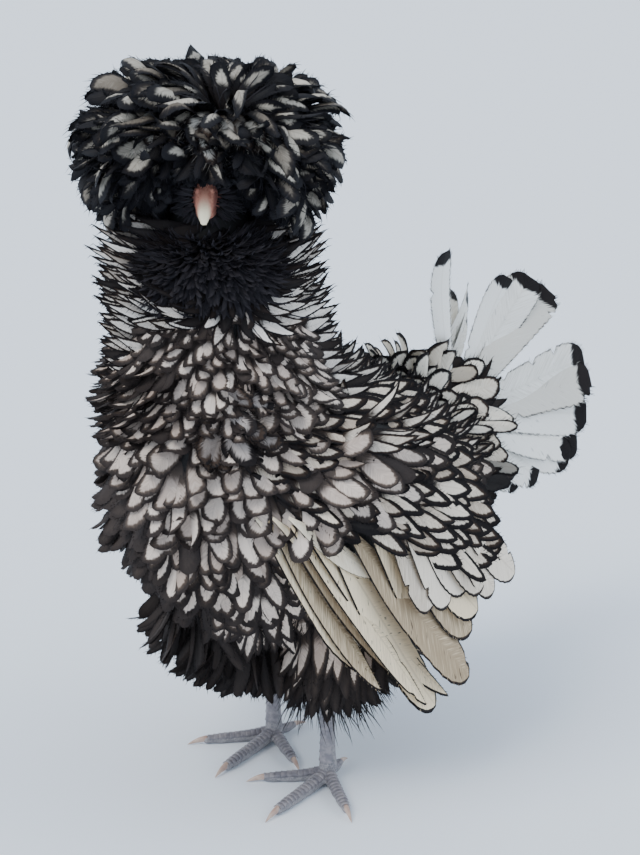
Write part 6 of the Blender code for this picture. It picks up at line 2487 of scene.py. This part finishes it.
class Studio:
    """Pale floor, soft light and the camera."""

    FLOOR_RADIUS = 60.0
    SENSOR = 36.0
    # Focal length in picture heights, the camera's turn round the bird, its height and its aim.
    FOCAL, TURN, HEIGHT = 1686.0 / 855.0, math.radians(40), 0.50
    AIM_ASIDE, AIM_HEIGHT = 0.012, 0.222

    def floor(self) -> None:
        """A wide, plain pale disc to stand on."""
        mesh = bpy.data.meshes.new("floor")
        made = bmesh.new()
        bmesh.ops.create_circle(made, cap_ends=True, radius=self.FLOOR_RADIUS, segments=96)
        made.to_mesh(mesh)
        made.free()
        floor = linked("floor", mesh)
        material = bpy.data.materials.new("floor_finish")
        material.use_nodes = True
        shader = material.node_tree.nodes["Principled BSDF"]
        shader.inputs["Base Color"].default_value = (0.885, 0.94, 1.0, 1)
        shader.inputs["Roughness"].default_value = 0.9
        mesh.materials.append(material)

    def light(self, name: str, place: Colour, spread: float, power: float, tint: Colour) -> None:
        """A soft light from far off, as wide in the sky as spread in degrees."""
        lamp = bpy.data.lights.new(name, "SUN")
        lamp.angle, lamp.energy, lamp.color = math.radians(spread), power, tint
        linked(name, lamp).rotation_euler = (-Vector(place)).to_track_quat("-Z", "Y").to_euler()

    def camera(self) -> None:
        """The camera, before the bird and to its left."""
        sine, cosine = math.sin(self.TURN), math.cos(self.TURN)
        aim = np.array((self.AIM_ASIDE * cosine, self.AIM_ASIDE * sine, self.AIM_HEIGHT)) - ORIGIN
        place = np.array((aim[0] + sine, aim[1] - cosine, self.HEIGHT))
        camera = bpy.data.cameras.new("camera")
        camera.sensor_width, camera.lens = self.SENSOR, self.FOCAL * self.SENSOR
        obj = linked("camera", camera)
        obj.location = place
        obj.rotation_euler = Vector(aim - place).to_track_quat("-Z", "Y").to_euler()
        bpy.context.scene.camera = obj

    def build(self) -> None:
        """The whole stage."""
        self.floor()
        world = bpy.data.worlds.new("studio")
        world.use_nodes = True
        sky = world.node_tree.nodes["Background"].inputs
        sky[0].default_value, sky[1].default_value = (0.745, 0.85, 1.0, 1), 1.20
        bpy.context.scene.world = world
        self.light("key", (-0.3, -2.2, 2.6), 34, 1.9, (1.0, 0.98, 0.95))
        self.light("rim", (1.8, 1.6, 1.6), 40, 0.6, (0.94, 0.97, 1.0))
        self.camera()


def dress_head() -> None:
    """Bill and eyes."""
    bill = Bill()
    horn = bill.finish()
    for piece, node in zip(bill.build(), ("upper_bill", "lower_bill")):
        dress(piece, horn, (node,))
    eyes = Eyes()
    wet = eyes.finish()
    for side in Side:
        dress(eyes.build(side), wet, (f"eye_{side.label}",))


def dress_feet() -> None:
    """Claws and scutes of both feet."""
    horn = HideFinish("claw_finish", ((0.42, 0.27, 0.22), (0.60, 0.47, 0.38)), 160.0, 0.38).build()
    slate = HideFinish("scute_finish", ((0.20, 0.19, 0.215), (0.34, 0.315, 0.33)), 260.0, 0.42).build()
    scutes = Scutes()
    plate = scutes.plate()
    scatter = Scatter()
    for leg in LEGS:
        for toe in TOES:
            dress(claw(leg, toe), horn, (f"claw_{leg.side.label}_{toe}",))
        name = f"scutes_{leg.side.label}"
        dress(scatter.build(name, plate, slate, scutes.rows(leg)), slate, ())
    drop([plate])


Coat = tuple[str, VaneForm, Tract, FeatherFinish, tuple[str, ...], Fringe | None]


def coats(ground: Ground) -> list[Coat]:
    """Every coat of feathers: its name, form, tract, finish, the nodes it stands for and its fringe."""
    trunk, neck = TorsoCoat(ground).parts(), NeckCoat()
    hackles, crest = neck.tract(), CrestCoat()
    globe, beard = crest.tract(), BeardCoat().tract()
    draw = default_rng(43)
    breast, chest = merged([trunk["breast"], neck.shoulder()]), merged([trunk["chest"], neck.bib()])
    made = [
        ("breast_feathers", BODY_FORM, breast, LACED, (), Fringe(26, 2.2 * MM)),
        ("parting_feathers", BODY_FORM, trunk["parting"], FLUFFY, (), Fringe(70, 3.6 * MM, lit=1.6)),
        ("saddle_feathers", LANCE_FORM, trunk["saddle"], SADDLE, (), Fringe(18, 2.6 * MM)),
        ("belly_feathers", LANCE_FORM, trunk["belly"], LACED, (), Fringe(18, 3.0 * MM)),
        ("hanging_feathers", BODY_FORM, trunk["hanging"], FLUFF, (), Fringe(28, 2.2 * MM, lit=0.8)),
        ("neck_hackles", HACKLE_FORM, hackles, HACKLE, (), Fringe(14, 2.4 * MM)),
        ("neck_wisps", WISP_FORM, hackles.wisps(draw, 0.6, 1.0 * MM), BLACK, (), None),
        ("crest_feathers", CREST_FORM, globe, CREST, ("crest",), Fringe(30, 3.0 * MM, width=0.55 * MM)),
        ("crest_wisps", WISP_FORM, globe.wisps(draw, 1.7, 0.8 * MM), BLACK, ("crest",), None),
        ("crest_fringe", CREST_FORM, crest.fringe(), FRINGE, ("crest",), Fringe(70, 5.0 * MM, lit=2.0)),
        ("beard_feathers", BEARD_FORM, beard, BLACK, ("beard",), None),
        ("beard_wisps", WISP_FORM, beard.wisps(draw, 0.8, 0.8 * MM), BLACK, ("beard",), None),
        ("tail_quills", TAIL_FORM, TailCoat().tract(), TAIL, ("tail",), Fringe(220, 3.4 * MM, lit=1.2)),
        ("rump_feathers", PLUME_FORM, RumpCoat().tract(), RUMP, ("tail",), Fringe(36, 2.8 * MM)),
    ]
    for side in Side:
        wing = WingCoat(side)
        rows = default_rng(41)
        node = (f"wing_{side.label}",)
        quill, short = Fringe(90, 1.8 * MM, lit=2.0), Fringe(60, 2.0 * MM)
        made += [
            (f"primaries_{side.label}", PRIMARY_FORM, wing.row(PRIMARIES, rows), FLIGHT, node, quill),
            (f"secondaries_{side.label}", QUILL_FORM, wing.row(SECONDARIES, rows), FLIGHT, node, quill),
            (f"pinions_{side.label}", PRIMARY_FORM, wing.row(PINIONS, rows), PINION, node, quill),
            (f"tertials_{side.label}", QUILL_FORM, wing.row(TERTIALS, rows), GREAT, node, short),
            (f"coverts_{side.label}", COVERT_FORM, wing.coverts(), COVERT, node, Fringe(28, 2.0 * MM)),
        ]
    for leg in LEGS:
        label, tract = leg.side.label, ThighCoat(leg).tract()
        fringe = Fringe(16, 2.6 * MM)
        made.append((f"thigh_feathers_{label}", LANCE_FORM, tract, LACED, (f"thigh_{label}",), fringe))
    made.append(("chest_feathers", BODY_FORM, chest, CHEST, (), Fringe(24, 2.0 * MM)))
    return made


def main() -> None:
    """Builds every piece in order and writes the sizes."""
    logging.basicConfig(level=logging.INFO, format="%(message)s")
    Studio().build()
    groups = {"lacing": lacing_group(), "barbs": barb_group()}
    skin_maker = Skin()
    skin = skin_maker.build()
    flesh = ("torso", "neck", "head", *(f"{n}_{s.label}" for n in ("thigh", "shank", "foot") for s in Side))
    dress(skin, skin_maker.finish(), flesh)
    ground = Ground(skin)
    dress_head()
    dress_feet()
    laced = (LACED, CHEST, SADDLE, COVERT, GREAT, RUMP, HACKLE)
    looks = (*laced, CREST, FLUFFY, FLUFF, FRINGE, BLACK, FLIGHT, PINION, TAIL)
    finish = {look.name: look.build(groups) for look in looks}
    for seed, (name, form, tract, look, node, fringe) in enumerate(coats(ground), 60):
        vanes = Vanes(form, seed, tract)
        dress(vanes.build(name), finish[look.name], node)
        if fringe:
            dress(vanes.barbs(f"{name}_barbs", fringe), finish[look.name], ())
    fluff = Fluff(ground)
    tuft = fluff.tuft()
    tones = ((0.010, 0.009, 0.010), (0.026, 0.020, 0.018))
    down = HideFinish("down_finish", tones, 90.0, 0.7, shine=0.2).build()
    dress(Scatter().build("down", tuft, down, fluff.rows()), down, ())
    drop([tuft])


if __name__ == "__main__":
    main()
